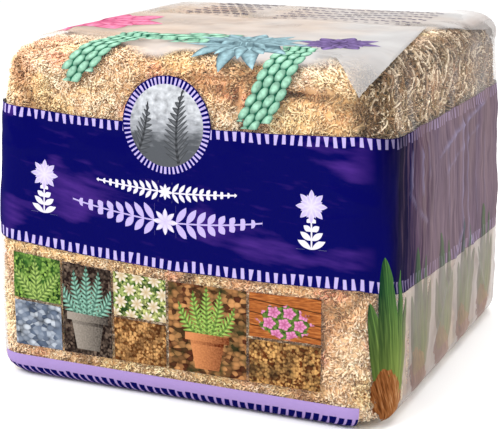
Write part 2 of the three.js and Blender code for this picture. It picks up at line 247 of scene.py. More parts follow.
# Each fold in the film: its two ends as (along, up), its half width and its height.
FOLDS = [
    ((RIGHT + 17, 114), (RIGHT + 22, 36), 1.3, -1.8),
    ((RIGHT + 14, 114), (RIGHT + 17.5, 38), 1.2, 1.1),
    ((RIGHT + 20.5, 112), (RIGHT + 27, 38), 1.3, 0.9),
    ((RIGHT + 62, 108), (RIGHT - 30, 93), 1.2, 0.9),
    ((RIGHT + 52, 100), (RIGHT - 20, 84), 1.2, 0.5),
    ((RIGHT + 20, 62), (RIGHT - 30, 12), 1.6, 0.9),
    ((RIGHT + 24, 56), (RIGHT + 60, 14), 1.6, 0.9),
    ((RIGHT - 45, 107), (RIGHT - 40, 82), 1.2, 1.1),
    ((RIGHT - 49, 108), (RIGHT - 47, 76), 1.2, -0.9),
    ((RIGHT - 55, 107), (RIGHT - 57, 88), 1.2, 1.0),
    ((RIGHT - 36, 106), (RIGHT - 33, 88), 1.2, 0.7),
    ((RIGHT - 62, 92), (RIGHT - 32, 70), 1.6, 0.7),
    ((RIGHT - 8, 104), (RIGHT - 4, 58), 1.2, 0.6),
    ((RIGHT + 3, 108), (RIGHT + 1, 66), 1.2, 0.5),
    ((RIGHT + 36, 104), (RIGHT + 38, 52), 1.2, 0.6),
    ((RIGHT + 50, 100), (RIGHT + 51, 50), 1.2, 0.6),
    ((-78, 110), (-60, 88), 2.2, 0.5),
    ((-86, 99), (-62, 100), 2.0, 0.5),
    ((60, 96), (86, 88), 3.0, 0.8),
    ((50, 82), (82, 86), 3.4, 0.6),
    ((40, 68), (86, 65), 3.4, 0.5),
    ((-RIGHT, 112), (-RIGHT + 3, 30), 1.3, -1.6),
    ((-RIGHT + 4, 110), (-RIGHT + 8, 34), 1.3, 0.9),
    ((-RIGHT - 2, 60), (-RIGHT - 48, 14), 1.6, 0.9),
    ((-RIGHT + 3, 58), (-RIGHT + 46, 14), 1.6, 0.9),
    ((-RIGHT - 40, 104), (-RIGHT + 30, 90), 1.3, 0.7),
    ((2 * RIGHT + 30, 108), (2 * RIGHT + 74, 70), 1.5, 0.6),
    ((2 * RIGHT - 70, 96), (2 * RIGHT - 26, 104), 1.5, 0.5),
]


def fold_height(along, up):
    """The sum of the folds. Each is a ridge or groove with a sharp crest, height * exp(-away / width), that
    bows a little to one side and fades at both ends."""
    total = 0
    for (a0, u0), (a1, u1), width, height in FOLDS:
        run = np.array([a1 - a0, u1 - u0])
        length = np.hypot(*run)
        da = np.mod(along - a0 + GIRTH / 2, GIRTH) - GIRTH / 2
        t = (da * run[0] + (up - u0) * run[1]) / length**2
        bow = 0.03 * length * np.sin(math.pi * np.clip(t, 0, 1))
        away = np.abs((da * run[1] - (up - u0) * run[0]) / length - bow)
        fade = smooth(0, 0.2, t) * (1 - smooth(0.8, 1, t))
        total = total + height * fade * np.exp(-away / width)
    return total


def drape(along, up):
    """The film's broad soft waves, from -1 to 1. They run nearly level, and bend with a slow noise."""
    points = skin(along, up)[0]
    bend = rough(points, 45, 11)
    slant = up + 0.22 * np.abs(np.mod(along + RIGHT, 2 * RIGHT) - RIGHT) + 26 * bend
    wave = np.sin(slant / 6.4) * (0.55 + 0.45 * rough(points, 30, 13))
    return 0.7 * wave + 0.3 * rough(points * [0.5, 0.5, 1.6], 16, 14)


def film_height(along, up):
    """How far the film stands off the bale's smooth form: drapes on the band, dents over the moss's creases,
    folds, a crackle of shallow facets, which is stronger on the side walls, and the empty corner of film that
    stands out at the top of the back right."""
    points, normals = skin(along, up)
    over_edge = np.sin(math.pi * np.clip((up - HEIGHT + TOP_DROP) / (TOP_RIM - HEIGHT + TOP_DROP), 0, 1))
    loose = 3.4 * over_edge * smooth(1.2, 1.7, points[..., 0] / HALF_X + points[..., 1] / HALF_Y)
    wall = smooth(BOTTOM_ROUND, 20, up) * (1 - smooth(TOP_RIM - 6, TOP_RIM + 10, up))
    border = crease_distance(points)
    dents = -0.8 * np.exp(-((border / 4) ** 2)) * smooth(100, 118, up)
    facets = np.abs(rough(points, 13, 21)) * 0.9 + np.abs(rough(points, 6, 23)) * 0.35
    upright = rough(points * [1, 1, 0.14], 6, 25) * smooth(30, 60, up) * (1 - smooth(104, 118, up))
    side = smooth(0.6, 0.95, np.abs(normals[..., 0]))
    crackle = (0.35 + 0.35 * side) * facets + 0.3 * side * upright
    waves = 0.55 * drape(along, up) * smooth(40, 60, up) * (1 - smooth(104, 118, up))
    return wall * (waves + fold_height(along, up) + crackle - 0.35 + dents) + loose


# ---------------------------------------------------------------- meshes


def mesh_piece(
    name, points, faces, materials, stands_for, maps=None, fields=None, tints=None, zones=None
):
    """A smooth mesh in metres from points in millimetres. Faces are arrays, one for each number of corners.
    Maps are UV values for each corner, fields are numbers and tints colours for each point, and zones pick
    each face's material."""
    mesh = bpy.data.meshes.new(name)
    corners = np.concatenate([part.ravel() for part in faces])
    counts = np.concatenate([np.full(len(part), part.shape[1]) for part in faces])
    starts = np.concatenate([[0], np.cumsum(counts)[:-1]])
    mesh.vertices.add(len(points))
    mesh.vertices.foreach_set("co", (points * MM).astype(np.float32).ravel())
    mesh.loops.add(len(corners))
    mesh.loops.foreach_set("vertex_index", corners.astype(np.int32))
    mesh.polygons.add(len(counts))
    mesh.polygons.foreach_set("loop_start", starts.astype(np.int32))
    mesh.polygons.foreach_set("use_smooth", np.ones(len(counts), bool))
    for key, values in (maps or {}).items():
        mesh.uv_layers.new(name=key).data.foreach_set("uv", values.astype(np.float32).ravel())
    for key, values in (fields or {}).items():
        layer = mesh.attributes.new(key, "FLOAT", "POINT")
        layer.data.foreach_set("value", values.astype(np.float32).ravel())
    for key, values in (tints or {}).items():
        colours = np.concatenate([values, np.ones((len(values), 1))], 1)
        layer = mesh.attributes.new(key, "FLOAT_COLOR", "POINT")
        layer.data.foreach_set("color", colours.astype(np.float32).ravel())
    mesh.update(calc_edges=True)
    mesh.validate()
    for material in materials:
        mesh.materials.append(material)
    if zones is not None:
        mesh.polygons.foreach_set("material_index", zones.astype(np.int32))
    piece = bpy.data.objects.new(name, mesh)
    bpy.context.collection.objects.link(piece)
    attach(piece, "root")
    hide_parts(stands_for)
    return piece


def closed_grid(rows, columns):
    """Faces of a closed skin of rings from the bottom up, with a pole at each end, numbered after the
    rings. Returns the four-sided and three-sided faces, and each corner's column and row."""
    r, c = np.meshgrid(np.arange(rows - 1), np.arange(columns), indexing="ij")
    r, c = r.ravel(), c.ravel()
    quad_rows = np.stack([r, r, r + 1, r + 1], -1)
    quad_columns = np.stack([c, c + 1, c + 1, c], -1)
    quads = quad_rows * columns + quad_columns % columns
    c = np.arange(columns)
    low, high, last = rows * columns, rows * columns + 1, (rows - 1) * columns
    below = np.stack([np.full(columns, low), (c + 1) % columns, c], -1)
    above = np.stack([np.full(columns, high), last + c, last + (c + 1) % columns], -1)
    fan_columns = np.concatenate([np.stack([c, c + 1, c], -1), np.stack([c, c, c + 1], -1)])
    fan_rows = np.repeat([[-1, 0, 0], [rows, rows - 1, rows - 1]], columns, 0)
    fans = np.concatenate([below, above])
    return quads, fans, (quad_columns, quad_rows), (fan_columns, fan_rows)


def stations(fine, top_rows, wall_step):
    """Heights of a closed skin's rings, packed closer on the wall and the top than underneath."""
    foot = -4.5  # just inside the bottom's round edge
    under = np.linspace(UNDERSIDE + 8, foot, 7)
    turn = np.linspace(foot, BOTTOM_ROUND, fine // 2, endpoint=False)
    wall = np.arange(BOTTOM_ROUND, HEIGHT - TOP_DROP, wall_step)
    edge = np.linspace(HEIGHT - TOP_DROP, TOP_RIM, fine, endpoint=False)
    top = np.linspace(TOP_RIM, TOP - 2, top_rows)
    return np.concatenate([under[:-1], turn, wall, edge, top])


def print_height(along, up):
    """The print's own height at a place: the bag is pulled a little askew, so the band's edges wander. Each
    column is stretched in steps between the strip, the band's two edges and the top. On the flat top the
    height goes on with the distance back from the front rim."""
    at = [-170, -85, -40, 0, 40, 75, 90, 102, 166, 235, 260, 330]
    high = np.interp(along, at, [112, 116.8, 114, 113, 113.6, 115, 113.4, 112.6, 112, 112.2, 113, 112])
    low = np.interp(along, at, [52, 61, 57.5, 55.6, 55.8, 57, 54, 51.5, 47, 43.5, 46, 52])
    inside = BAND_LOW + (up - low) / (high - low) * (BAND_HIGH - BAND_LOW)
    below = STRIP_HIGH + (up - STRIP_HIGH) / (low - STRIP_HIGH) * (BAND_LOW - STRIP_HIGH)
    above = BAND_HIGH + (up - high) / (TOP_RIM - high) * (TOP_RIM - BAND_HIGH)
    height = np.where(up < low, below, np.where(up > high, above, inside))
    y = skin(along, up)[0][..., 1]
    height = np.where(up > TOP_RIM, TOP_RIM + y + RIM_Y, height)
    return np.where(up < STRIP_HIGH, up, height)


# ---------------------------------------------------------------- shader nodes

LIGHT = 1.6  # how much brighter than 1 the studio lights a white wall
EDGE = 0.16  # millimetres over which an ink edge blends


def colour(code):
    """A hexadecimal screen colour, as it should look in the studio, as linear red, green, blue and alpha."""
    screen = [int(code[i : i + 2], 16) / 255 for i in (0, 2, 4)]
    linear = [c / 12.92 if c <= 0.04045 else ((c + 0.055) / 1.055) ** 2.4 for c in screen]
    return tuple(c / LIGHT for c in linear) + (1.0,)


class Wire:
    """A number that changes over a surface. Its operators add Math nodes."""

    def __init__(self, paint, socket):
        self.paint, self.socket = paint, socket

    def __add__(self, other):
        return self.paint.math("ADD", self, other)

    def __radd__(self, other):
        return self.paint.math("ADD", other, self)

    def __sub__(self, other):
        return self.paint.math("SUBTRACT", self, other)

    def __rsub__(self, other):
        return self.paint.math("SUBTRACT", other, self)

    def __mul__(self, other):
        return self.paint.math("MULTIPLY", self, other)

    def __rmul__(self, other):
        return self.paint.math("MULTIPLY", other, self)

    def __truediv__(self, other):
        return self.paint.math("DIVIDE", self, other)

    def __abs__(self):
        return self.paint.math("ABSOLUTE", self)

    def floor(self):
        return self.paint.math("FLOOR", self)

    def root(self):
        return self.paint.math("SQRT", self)

    def mod(self, other):
        return self.paint.math("FLOORED_MODULO", self, other)

    def over(self, limit):
        """1 above the limit and 0 below it, with a soft edge as ink has."""
        return self.paint.math("MULTIPLY_ADD", self - limit, 1 / EDGE, 0.5, clamp=True)

    def under(self, limit):
        """1 below the limit and 0 above it, with the same soft edge."""
        return self.paint.math("MULTIPLY_ADD", self - limit, -1 / EDGE, 0.5, clamp=True)

    def between(self, low, high):
        return self.over(low) * self.under(high)

    def clamp(self):
        return self.paint.math("ADD", self, 0.0, clamp=True)


class Paint:
    """A material under construction."""

    def __init__(self, name):
        self.material = bpy.data.materials.new(name)
        self.material.use_nodes = True
        self.tree = self.material.node_tree
        self.tree.nodes.clear()

    def node(self, kind, settings=None, inputs=None):
        """Adds a node of a type, with its settings first and then its sockets' values or links."""
        made = self.tree.nodes.new("ShaderNode" + kind)
        for key, value in (settings or {}).items():
            if key == "stops":
                for i, (place, shade) in enumerate(value):
                    stops = made.color_ramp.elements
                    stop = stops[i] if i < 2 else stops.new(place)
                    stop.position, stop.color = place, shade
            elif key == "steps":
                made.color_ramp.interpolation = value
            else:
                setattr(made, key, value)
        for key, value in (inputs or {}).items():
            socket = made.inputs[key]
            value = value.socket if isinstance(value, Wire) else value
            if isinstance(value, bpy.types.NodeSocket):
                self.tree.links.new(value, socket)
            else:
                socket.default_value = value
        return made

    def math(self, operation, *values, clamp=False):
        settings = {"operation": operation, "use_clamp": clamp}
        made = self.node("Math", settings, dict(enumerate(values)))
        return Wire(self, made.outputs[0])

    def spot(self):
        """The place on the object, in metres."""
        return self.node("TexCoord").outputs["Object"]

    def split(self, socket, scale=1.0):
        """A vector's three numbers, scaled."""
        made = self.node("SeparateXYZ", inputs={0: socket})
        return [Wire(self, made.outputs[i]) * scale for i in range(3)]

    def field(self, name):
        """One of the numbers that the mesh holds for each point."""
        return Wire(self, self.node("Attribute", {"attribute_name": name}).outputs["Fac"])

    def mix(self, share, under, over):
        """Two colours mixed."""
        made = self.node("Mix", {"data_type": "RGBA"}, {"Factor": share, 6: under, 7: over})
        return made.outputs[2]

    def multiply(self, shade, other):
        """Two colours multiplied."""
        settings = {"data_type": "RGBA", "blend_type": "MULTIPLY"}
        return self.node("Mix", settings, {"Factor": 1.0, 6: shade, 7: other}).outputs[2]

    def ramp(self, value, stops, steps="LINEAR"):
        return self.node("ValToRGB", {"steps": steps, "stops": stops}, {0: value}).outputs[0]

    def grey(self, value):
        """A grey as bright as a number."""
        return self.node("CombineColor", inputs={0: value, 1: value, 2: value}).outputs[0]

    def vector(self, x, y, z=0.0):
        return self.node("CombineXYZ", inputs={0: x, 1: y, 2: z}).outputs[0]

    def noise(self, place, scale, detail=2.0, distortion=0.0):
        inputs = {"Vector": place, "Scale": scale, "Detail": detail, "Distortion": distortion}
        return Wire(self, self.node("TexNoise", inputs=inputs).outputs["Fac"])

    def cells(self, place, scale, feature="F1"):
        """A pattern of random cells, as its node."""
        return self.node("TexVoronoi", {"feature": feature}, {"Vector": place, "Scale": scale})

    def random(self, index, seed):
        """A chance from 0 to 1 for each whole number."""
        inputs = {"Vector": self.vector(index, seed)}
        made = self.node("TexWhiteNoise", {"noise_dimensions": "2D"}, inputs)
        return Wire(self, made.outputs["Value"])

    def blend(self, share, under, over):
        """Two shaders mixed."""
        return self.node("MixShader", inputs={0: share, 1: under, 2: over}).outputs[0]

    def finish(self, surface):
        self.node("OutputMaterial", inputs={"Surface": surface})
        return self.material


# ---------------------------------------------------------------- printed motifs

# The band's purple is painted gloss: the film's drapes catching the light, drawn in as ink colour.
NAVY, GLOSS_PURPLE = colour("07075C"), colour("4A2A86")
LAVENDER, PALE = colour("C9B9F0"), colour("F1ECFB")
STRIP = colour("B79CD9")
MINT_DARK, MINT_LIGHT = colour("1C5A44"), colour("A9DCC0")
BLUE_DARK, BLUE_LIGHT = colour("16303E"), colour("9FC0C8")
VIOLET_DARK, VIOLET_LIGHT = colour("1C1430"), colour("8670A6")
PINK_DARK, PINK_LIGHT = colour("A81F58"), colour("EE8FB0")


def teeth(paint, along, depth, seed, height, half=0.21):
    """A row of small wedges, each as tall as height and twice half of a pitch wide. A tooth's width and lean
    change with its number, so that some widen upwards and some downwards. Depth is the distance in from
    the edge."""
    number = (along / TOOTH_PITCH).floor()
    across = along / TOOTH_PITCH - number - 0.5
    t = depth / height - 0.5
    spread = (paint.random(number, seed) - 0.5) * 0.44
    lean = (paint.random(number, seed + 3.0) - 0.5) * 0.34
    tall = height - 0.9 * paint.random(number, seed + 5.0)
    inside = (half + spread * t - abs(across - lean * t)) * TOOTH_PITCH
    return inside.over(0) * depth.over(0.3) * (tall - depth).over(0)


def sprig(paint, a, b, length, spacing, leaf, width, angle=0.95):
    """A stem with pairs of pointed leaves, each pair in one stretch of the stem. A is the distance along the
    stem and b across it. A leaf is a lens whose half width is 4 t (1 - t) width, with t its share of the
    leaf's length, and the leaves shorten towards the tip. Returns the mask of leaves and stem."""
    number = (a / spacing).floor()
    step, side = a - number * spacing, abs(b)
    reach = (1.25 - (number + 1) * (spacing / length)) * leaf
    t = (step * math.cos(angle) + side * math.sin(angle)) / reach
    lens = 4 * t * (1 - t) * width - abs(side * math.cos(angle) - step * math.sin(angle))
    return paint.math("MAXIMUM", lens.over(0), side.under(0.3)) * a.between(0, length)


FROND_ENDS = (0.5, 1.0)  # the powers that shape a frond's foot and its tip


def leaning(x, y, lean):
    """The distances along and across a stem that leans to the right from upright by an angle."""
    return y * math.cos(lean) + x * math.sin(lean), x * math.cos(lean) - y * math.sin(lean)


def scattered(paint, x, y, wide, tall, stray, seed):
    """Where a place lies from the middle of its box, in rows of boxes laid like bricks. Each row strays
    sideways by chance."""
    row = (y / tall).floor()
    shifted = x + wide / 2 * row + stray * paint.random(row, seed)
    return shifted.mod(wide) - wide / 2, y.mod(tall) - tall / 2


def frond(paint, a, b, length, wide, spacing, slant, lobes):
    """A frond with pinnae along both sides. A is the distance along its midrib and b across. With t = a /
    length and the powers p and q of its ends, its half width is wide t**p (1 - t)**q over that curve's top.
    A pinna fills one spacing of a - slant |b| and narrows by the power lobes to the frond's edge. Returns
    the mask, and a shade that is dark at the midrib and between pinnae and light along each pinna."""
    p, q = FROND_ENDS
    peak = (p / (p + q)) ** p * (q / (p + q)) ** q
    t = (a / length).clamp()
    side = abs(b)
    half = paint.math("POWER", t, p) * paint.math("POWER", 1 - t, q) * (wide / peak)
    tip = (1 - side / (half + 0.01)).clamp()
    phase = ((a - slant * side) / spacing).mod(1.0) - 0.5
    pinna = 0.5 * paint.math("POWER", tip, lobes) - abs(phase)
    rib = side.under(0.35 + 0.25 * (1 - t))
    edge = (half - side).over(0) * a.between(0, length)
    mask = paint.math("MAXIMUM", (pinna * spacing).over(0), rib) * edge
    shade = (pinna * 1.7 + 0.15 + 0.2 * (phase + 0.5)).clamp() * (1 - 0.55 * rib)
    return mask, shade


def beads(paint, a, b, length, wide, size):
    """A hanging string of plump leaves. They are ovals in columns, and every second column is shifted by half
    a leaf. A leaf is drawn where its column lies inside the string, whose half width is wide t**0.3
    (1 - t)**0.3 over that curve's top. Returns the mask, and a shade that falls from each leaf's middle."""
    t = (a / length).clamp()
    half = paint.math("POWER", t * (1 - t), 0.3) * (wide / 0.25**0.3)
    column = (b / size).floor()
    off = b / size - column - 0.5
    down = (a / (size * 1.35) + 0.5 * column.mod(2.0)).mod(1.0) - 0.5
    away = (off * off + down * down) * 4
    leaf = ((1.1 - away) * (size / 2)).over(0)
    whole = leaf * (half - abs((column + 0.5) * size)).over(0)
    mask = paint.math("MAXIMUM", whole, (half - 0.5 * size - abs(b)).over(0)) * a.between(0, length)
    return mask, ((1.05 - away * 0.7 - off * 0.5 - down * 0.3) * leaf).clamp()


def blade(paint, a, b, length, wide):
    """A long smooth leaf. With t = a / length its half width is wide t**0.3 (1 - t)**0.6 over that curve's
    top. Returns the mask, and a shade that grows across the leaf, with a pale midrib and fine streaks."""
    t = (a / length).clamp()
    peak = (1 / 3) ** 0.3 * (2 / 3) ** 0.6
    half = paint.math("POWER", t, 0.3) * paint.math("POWER", 1 - t, 0.6) * (wide / peak)
    side = b / (half + 0.01)
    streak = paint.noise(paint.vector(b * 1.0, a * 0.05), 1.1, 3.0)
    shade = (0.3 + 0.32 * side + 0.35 * abs(b).under(0.25) + (streak - 0.5) * 1.3).clamp()
    return (half - abs(b)).over(0) * a.between(0, length), shade


def blossom(paint, x, y, petals, radius, width, turn=0.0):
    """A flower of alike petals round a point. The angle is folded into one petal's sector, and that petal
    is a lens along its middle line. Returns the mask and a shade that is dark at the heart."""
    angle = paint.math("ARCTAN2", y, x) + turn
    sector = 2 * math.pi / petals
    local = (angle + sector / 2).mod(sector) - sector / 2
    r = (x * x + y * y).root()
    out = r * paint.math("COSINE", local)
    off = abs(r * paint.math("SINE", local))
    t = out / radius
    lens = 4 * t * (1 - t) * width - off
    edge = off / (4 * t * (1 - t) * width + 0.05)
    return lens.over(0), ((t * 0.85 + 0.22) * (1.1 - 0.9 * edge * edge)).clamp()


class Ink:
    """The print, built up layer by layer: its colour and how much of the film it covers."""

    def __init__(self, paint, shade):
        self.paint, self.shade, self.cover = paint, shade, None

    def lay(self, mask, shade):
        """Lays a colour over the print where the mask is 1."""
        self.shade = self.paint.mix(mask, self.shade, shade)
        self.cover = mask if self.cover is None else self.paint.math("MAXIMUM", self.cover, mask)

    def lay_sprig(self, a, b, region, shade, **form):
        self.lay(sprig(self.paint, a, b, **form) * region, shade)

    def lay_frond(self, a, b, region, dark, light, **form):
        self.lay_shaded(frond(self.paint, a, b, **form), region, dark, light)

    def lay_shaded(self, made, region, dark, light):
        """Lays a motif that comes as its mask and its shade."""
        mask, shade = made
        self.lay(mask * region, self.paint.mix(shade, dark, light))

    def lay_blossom(self, x, y, region, dark, light, petals, radius, width, rings):
        """A flower of nested rings of petals, each smaller and turned by half a petal."""
        for ring in range(rings):
            size = 1 - 0.27 * ring
            turn = math.pi / petals * (ring % 2)
            made = blossom(self.paint, x, y, petals, radius * size, width * size, turn)
            self.lay_shaded(made, region, dark, light)


MEDALLION, MEDALLION_RING, MEDALLION_TICKS = 19.2, 3.2, 62  # radius, the ring's width, and its ticks
OFF_MIDDLE = 3.6  # how far left of the wall's middle the medallion and the garlands are


def print_medallion(ink, x, height, region):
    """A round badge: a toothed ring round a grey disc with plain fern fronds on a hazy ground."""
    paint = ink.paint
    dx, dy = x + OFF_MIDDLE, height - BAND_HIGH
    r = (dx * dx + dy * dy).root()
    disc, ring = r.under(MEDALLION - MEDALLION_RING) * region, r.under(MEDALLION) * region
    angle = paint.math("ARCTAN2", dy, dx) * (MEDALLION_TICKS / (2 * math.pi))
    number = angle.floor()
    half = 0.22 + 0.12 * (paint.random(number, 9.0) - 0.5)
    tick = (half - abs(angle - number - 0.5)) * 1.8
    ink.lay(ring, NAVY)
    ink.lay(ring * tick.over(0) * r.under(MEDALLION - 0.4), LAVENDER)
    haze = paint.noise(paint.vector(dx, dy * 2.5), 0.2, 5.0)
    land = (0.42 - dy * 0.045 + (haze - 0.5) * 1.1 + (dy - 0.05 * dx).under(-2.5) * 0.22).clamp()
    stops = [(0.1, colour("CDD0D5")), (0.45, colour("A4A7AD")), (0.95, colour("5A5D62"))]
    ink.lay(disc, paint.ramp(land, stops))
    for tilt, foot, tall, wide in ((0.42, -7.0, 22.0, 4.4), (-0.22, 2.5, 28.0, 5.6)):
        a, b = leaning(dx - foot, dy, tilt)
        a = a + 14.5
        b = b + 0.010 * math.copysign(1, tilt) * a * a
        ink.lay_frond(a, b, disc, colour("1C1D20"), colour("74777C"),
                      length=tall, wide=wide, spacing=2.3, slant=0.7, lobes=0.7)


PANEL_EDGES = (-73.0, -50.0, -27.0, -3.0, 31.0, 61.0)  # the uprights between the pictures
PANEL_LOW, PANEL_MIDDLE, PANEL_HIGH, PANEL_GAP = 14.6, 33.1, 51.6, 0.5  # heights, and half a gap


class Pictures:
    """The grid of eight small pictures in five columns, of which the first, third and last hold two and the
    others one. Inside is the mask of them all, number the column, split 1 in a column of two and upper 1 in
    its upper picture. X and y are distances from the picture's middle, and place is a point that no two
    pictures share."""

    def __init__(self, paint, across, height, region):
        self.paint = paint
        inside, number, middle = 0.0, 0.0, 0.0
        for i, (left, right) in enumerate(zip(PANEL_EDGES, PANEL_EDGES[1:])):
            here = across.between(left + PANEL_GAP, right - PANEL_GAP)
            inside = here + inside
            number = here * float(i) + number
            middle = here * ((left + right) / 2) + middle
        self.number = number
        self.split = number.mod(2.0).under(0.5)
        self.upper = height.over(PANEL_MIDDLE) * self.split
        seam = 1 - self.split * abs(height - PANEL_MIDDLE).under(PANEL_GAP)
        self.inside = inside * height.between(PANEL_LOW, PANEL_HIGH) * seam * region
        self.x = across - middle
        half = (PANEL_HIGH - PANEL_LOW) / 2
        self.y = height - (PANEL_LOW + PANEL_HIGH) / 2 + self.split * (0.5 - self.upper) * half
        self.pick = number * 2 + self.upper
        self.place = paint.vector(self.x + number * 40, self.y + self.upper * 60)

    def each(self, codes):
        """One colour for each picture, by column and lower before upper. Tall ones have two alike."""
        stops = [(max(i - 0.5, 0) / 10, colour(code)) for i, code in enumerate(codes.split())]
        return self.paint.ramp(self.pick / 10, stops, "CONSTANT")


def print_grounds(ink, grid):
    """The pictures' grounds: cells in two colours with patches of a third, as chips, stones or leaves look,
    and planks in the last column's upper picture."""
    paint = ink.paint
    coarse = paint.math("MAXIMUM", grid.pick.under(0.5), (1 - grid.split) * grid.number.over(2))
    stretch = {"operation": "MULTIPLY"}
    larger = paint.node("VectorMath", stretch, {0: grid.place, 1: (0.42, 0.62, 1.0)}).outputs[0]
    shape = paint.node("Mix", {"data_type": "VECTOR"}, {"Factor": coarse, 4: grid.place, 5: larger})
    chips = paint.cells(shape.outputs[1], 0.95)
    chance = paint.node("SeparateColor", inputs={0: chips.outputs["Color"]})
    away = Wire(paint, chips.outputs["Distance"])
    pale = (Wire(paint, chance.outputs[0]) * 1.5 - 0.25).clamp()
    dark = grid.each("46536A 26431F 2A1D1B 2A1D1B 7A4A26 274420 5A3020 5A3020 6E3A1E 4A281B")
    light = grid.each("D3DAE4 9CC25C 7D6A5C 7D6A5C E8B070 D6DC8A D89A62 D89A62 EDB56E C0764A")
    ground = paint.mix(pale, dark, light)
    ground = paint.multiply(ground, paint.grey((1.5 - away * 1.35).clamp()))
    patches = (paint.noise(grid.place, 0.14, 2.0) * 3.6 - 1.5).clamp() * 0.8
    third = grid.each("7F8CA0 3C6A2C 1F1817 1F1817 4A2A18 507A34 2E3A22 2E3A22 35281C 9A5A30")
    ground = paint.mix(patches, ground, third)
    grain = paint.noise(paint.vector(grid.x * 0.25, grid.y * 1.6), 1.0, 4.0)
    board = paint.ramp(grain, [(0.3, colour("7A3F22")), (0.55, colour("B86A35")), (0.8, colour("E09A58"))])
    joint = abs((grid.y + 0.1 * grid.x).mod(5.2) - 2.6).over(2.35)
    board = paint.mix(joint * 0.8, board, colour("2E1812"))
    ink.lay(grid.inside, paint.mix(grid.number.over(3.5) * grid.upper, ground, board))


def print_pots(ink, grid):
    """The two tall pictures: a spreading plant in a pot with a rim, the right one lighter and of clay."""
    paint, x, y = ink.paint, grid.x, grid.y
    tall = grid.inside * (1 - grid.split)
    right = grid.number.over(2)
    pot = (abs(x) * -1 + 8.0 + y * 0.18).over(0) * y.between(-16.5, -3.0) * tall
    rim = (9.3 - abs(x)).over(0) * y.between(-4.8, -1.6) * tall
    grit = paint.noise(grid.place, 1.3, 4.0)
    light = (0.62 - x * 0.055 + (grit - 0.5) * 0.9 - 0.25 * y.under(-4.8) * y.over(-6.2)).clamp()
    clay_dark = paint.mix(right, colour("2C2624"), colour("5E2412"))
    clay_light = paint.mix(right, colour("A79C90"), colour("E0935E"))
    clay = paint.mix(light, clay_dark, clay_light)
    deep = paint.mix(right, colour("12332A"), colour("1E4418"))
    bright = paint.mix(right, colour("A5DCC4"), colour("BCE070"))
    outer = ((0.75, 2.5, 17.0), (-0.8, -2.5, 17.0))
    inner = ((0.34, 1.0, 21.0), (-0.38, -1.0, 20.0), (-0.02, 0.0, 22.0))
    for lean, foot, size in outer + inner:
        a, b = leaning(x - foot, y + 3.5, lean)
        b = b + 0.03 * a * lean * (a - 8)
        ink.lay_frond(a, b, tall, deep, bright, length=size, wide=3.6, spacing=1.9, slant=0.7, lobes=0.6)
    ink.lay(paint.math("MAXIMUM", pot, rim), clay)


def print_plants(ink, grid):
    """The plants of three upper pictures: fronds in the first column, daisies in the third, and a bush with
    pink flowers in the last."""
    paint, x, y = ink.paint, grid.x, grid.y
    first = grid.inside * grid.upper * grid.number.under(0.5)
    for lean in (-0.75, 0.7, -0.05):
        a, b = leaning(x, y + 8.8, lean)
        ink.lay_frond(a, b, first, colour("173F1E"), colour("C3E07A"),
                      length=17.5, wide=3.2, spacing=1.9, slant=0.8, lobes=0.6)
    third = grid.inside * grid.number.between(1.5, 2.5) * grid.upper
    ink.lay_blossom(*scattered(paint, x, y, 7.2, 5.4, 1.2, 2.0), third, colour("B98E30"), colour("F7F3E4"),
                    petals=7, radius=3.0, width=0.7, rings=1)
    bush = grid.inside * grid.upper * grid.number.over(3.5)
    ragged = (paint.noise(grid.place, 0.35, 3.0) - 0.5) * 1.6
    bush = bush * (1.2 - (x * x) / 120 - (y + 1.5) * (y + 1.5) / 50 + ragged).over(0.35)
    mottle = (paint.noise(grid.place, 0.8, 3.0) * 2.6 - 0.8).clamp()
    ink.lay(bush, paint.mix(mottle, colour("17301A"), colour("7E9E46")))
    ink.lay_blossom(*scattered(paint, x, y, 6.2, 4.6, 1.5, 4.0), bush, colour("9C1F63"), colour("F3A0CC"),
                    petals=5, radius=2.9, width=1.0, rings=2)


def print_band(ink, along, across, height, zone):
    """The dark band, with purple painted in as gloss where the drapes catch the light, by the gloss field,
    and its toothed edges. The painted purple fades out towards the corners."""
    paint = ink.paint
    streaks = paint.noise(paint.vector(along * 0.22, height * 1.1 + along * 0.16), 0.32, 4.0)
    # Painted gloss: purple streaks where the drapes catch the light.
    glow = (paint.field("glow") * 0.95 + (streaks - 0.6) * 1.7).clamp() * (8.2 - abs(across) * 0.1).clamp()
    ink.lay(height.between(BAND_LOW, BAND_HIGH), paint.mix(glow, NAVY, GLOSS_PURPLE))
    if zone == "lower":
        ink.lay(teeth(paint, along, height - BAND_LOW, 5.0, 4.9), LAVENDER)
    if zone == "upper":
        ink.lay(teeth(paint, along, BAND_HIGH - height, 1.0, 4.3), LAVENDER)


SMALL_GARLAND, LARGE_GARLAND = 87.5, 75.5  # heights
FLOWER_FOOT, FLOWER_HIGH, FLOWER_AWAY = 70.6, 87.0, 57  # heights, and the distance from the middle


def print_ornaments(ink, across, height, region):
    """Generic leafy ornaments where a bag has its lettering: a small pale garland over a large lavender one
    under the medallion, and a flower on a leafy stem at each side."""
    x = across + OFF_MIDDLE
    side = abs(x)
    y = height - SMALL_GARLAND
    bent = y - 0.0015 * side * side
    ink.lay_sprig(side - 3.0, bent, region, PALE, length=27.0, spacing=2.9, leaf=4.2, width=0.75)
    ink.lay_blossom(x, y, region, PALE, PALE, petals=8, radius=3.2, width=0.6, rings=1)
    y = height - LARGE_GARLAND
    bent = y - 0.0022 * side * side
    ink.lay_sprig(side - 4.6, bent, region, LAVENDER, length=36.0, spacing=4.5, leaf=7.2, width=1.35)
    ink.lay_blossom(x, y, region, LAVENDER, PALE, petals=8, radius=5.4, width=1.0, rings=1)
    x = abs(across + 0.5) - FLOWER_AWAY
    ink.lay_sprig(height - FLOWER_FOOT, x, region, PALE, length=14.4, spacing=3.4, leaf=7.0, width=1.15)
    ink.lay_blossom(x, height - FLOWER_HIGH, region, PALE, LAVENDER, petals=8, radius=6.3, width=1.2, rings=2)


FIRST_TUFT, TUFT_PITCH, TUFT_FOOT = 92.0, 32.0, 12


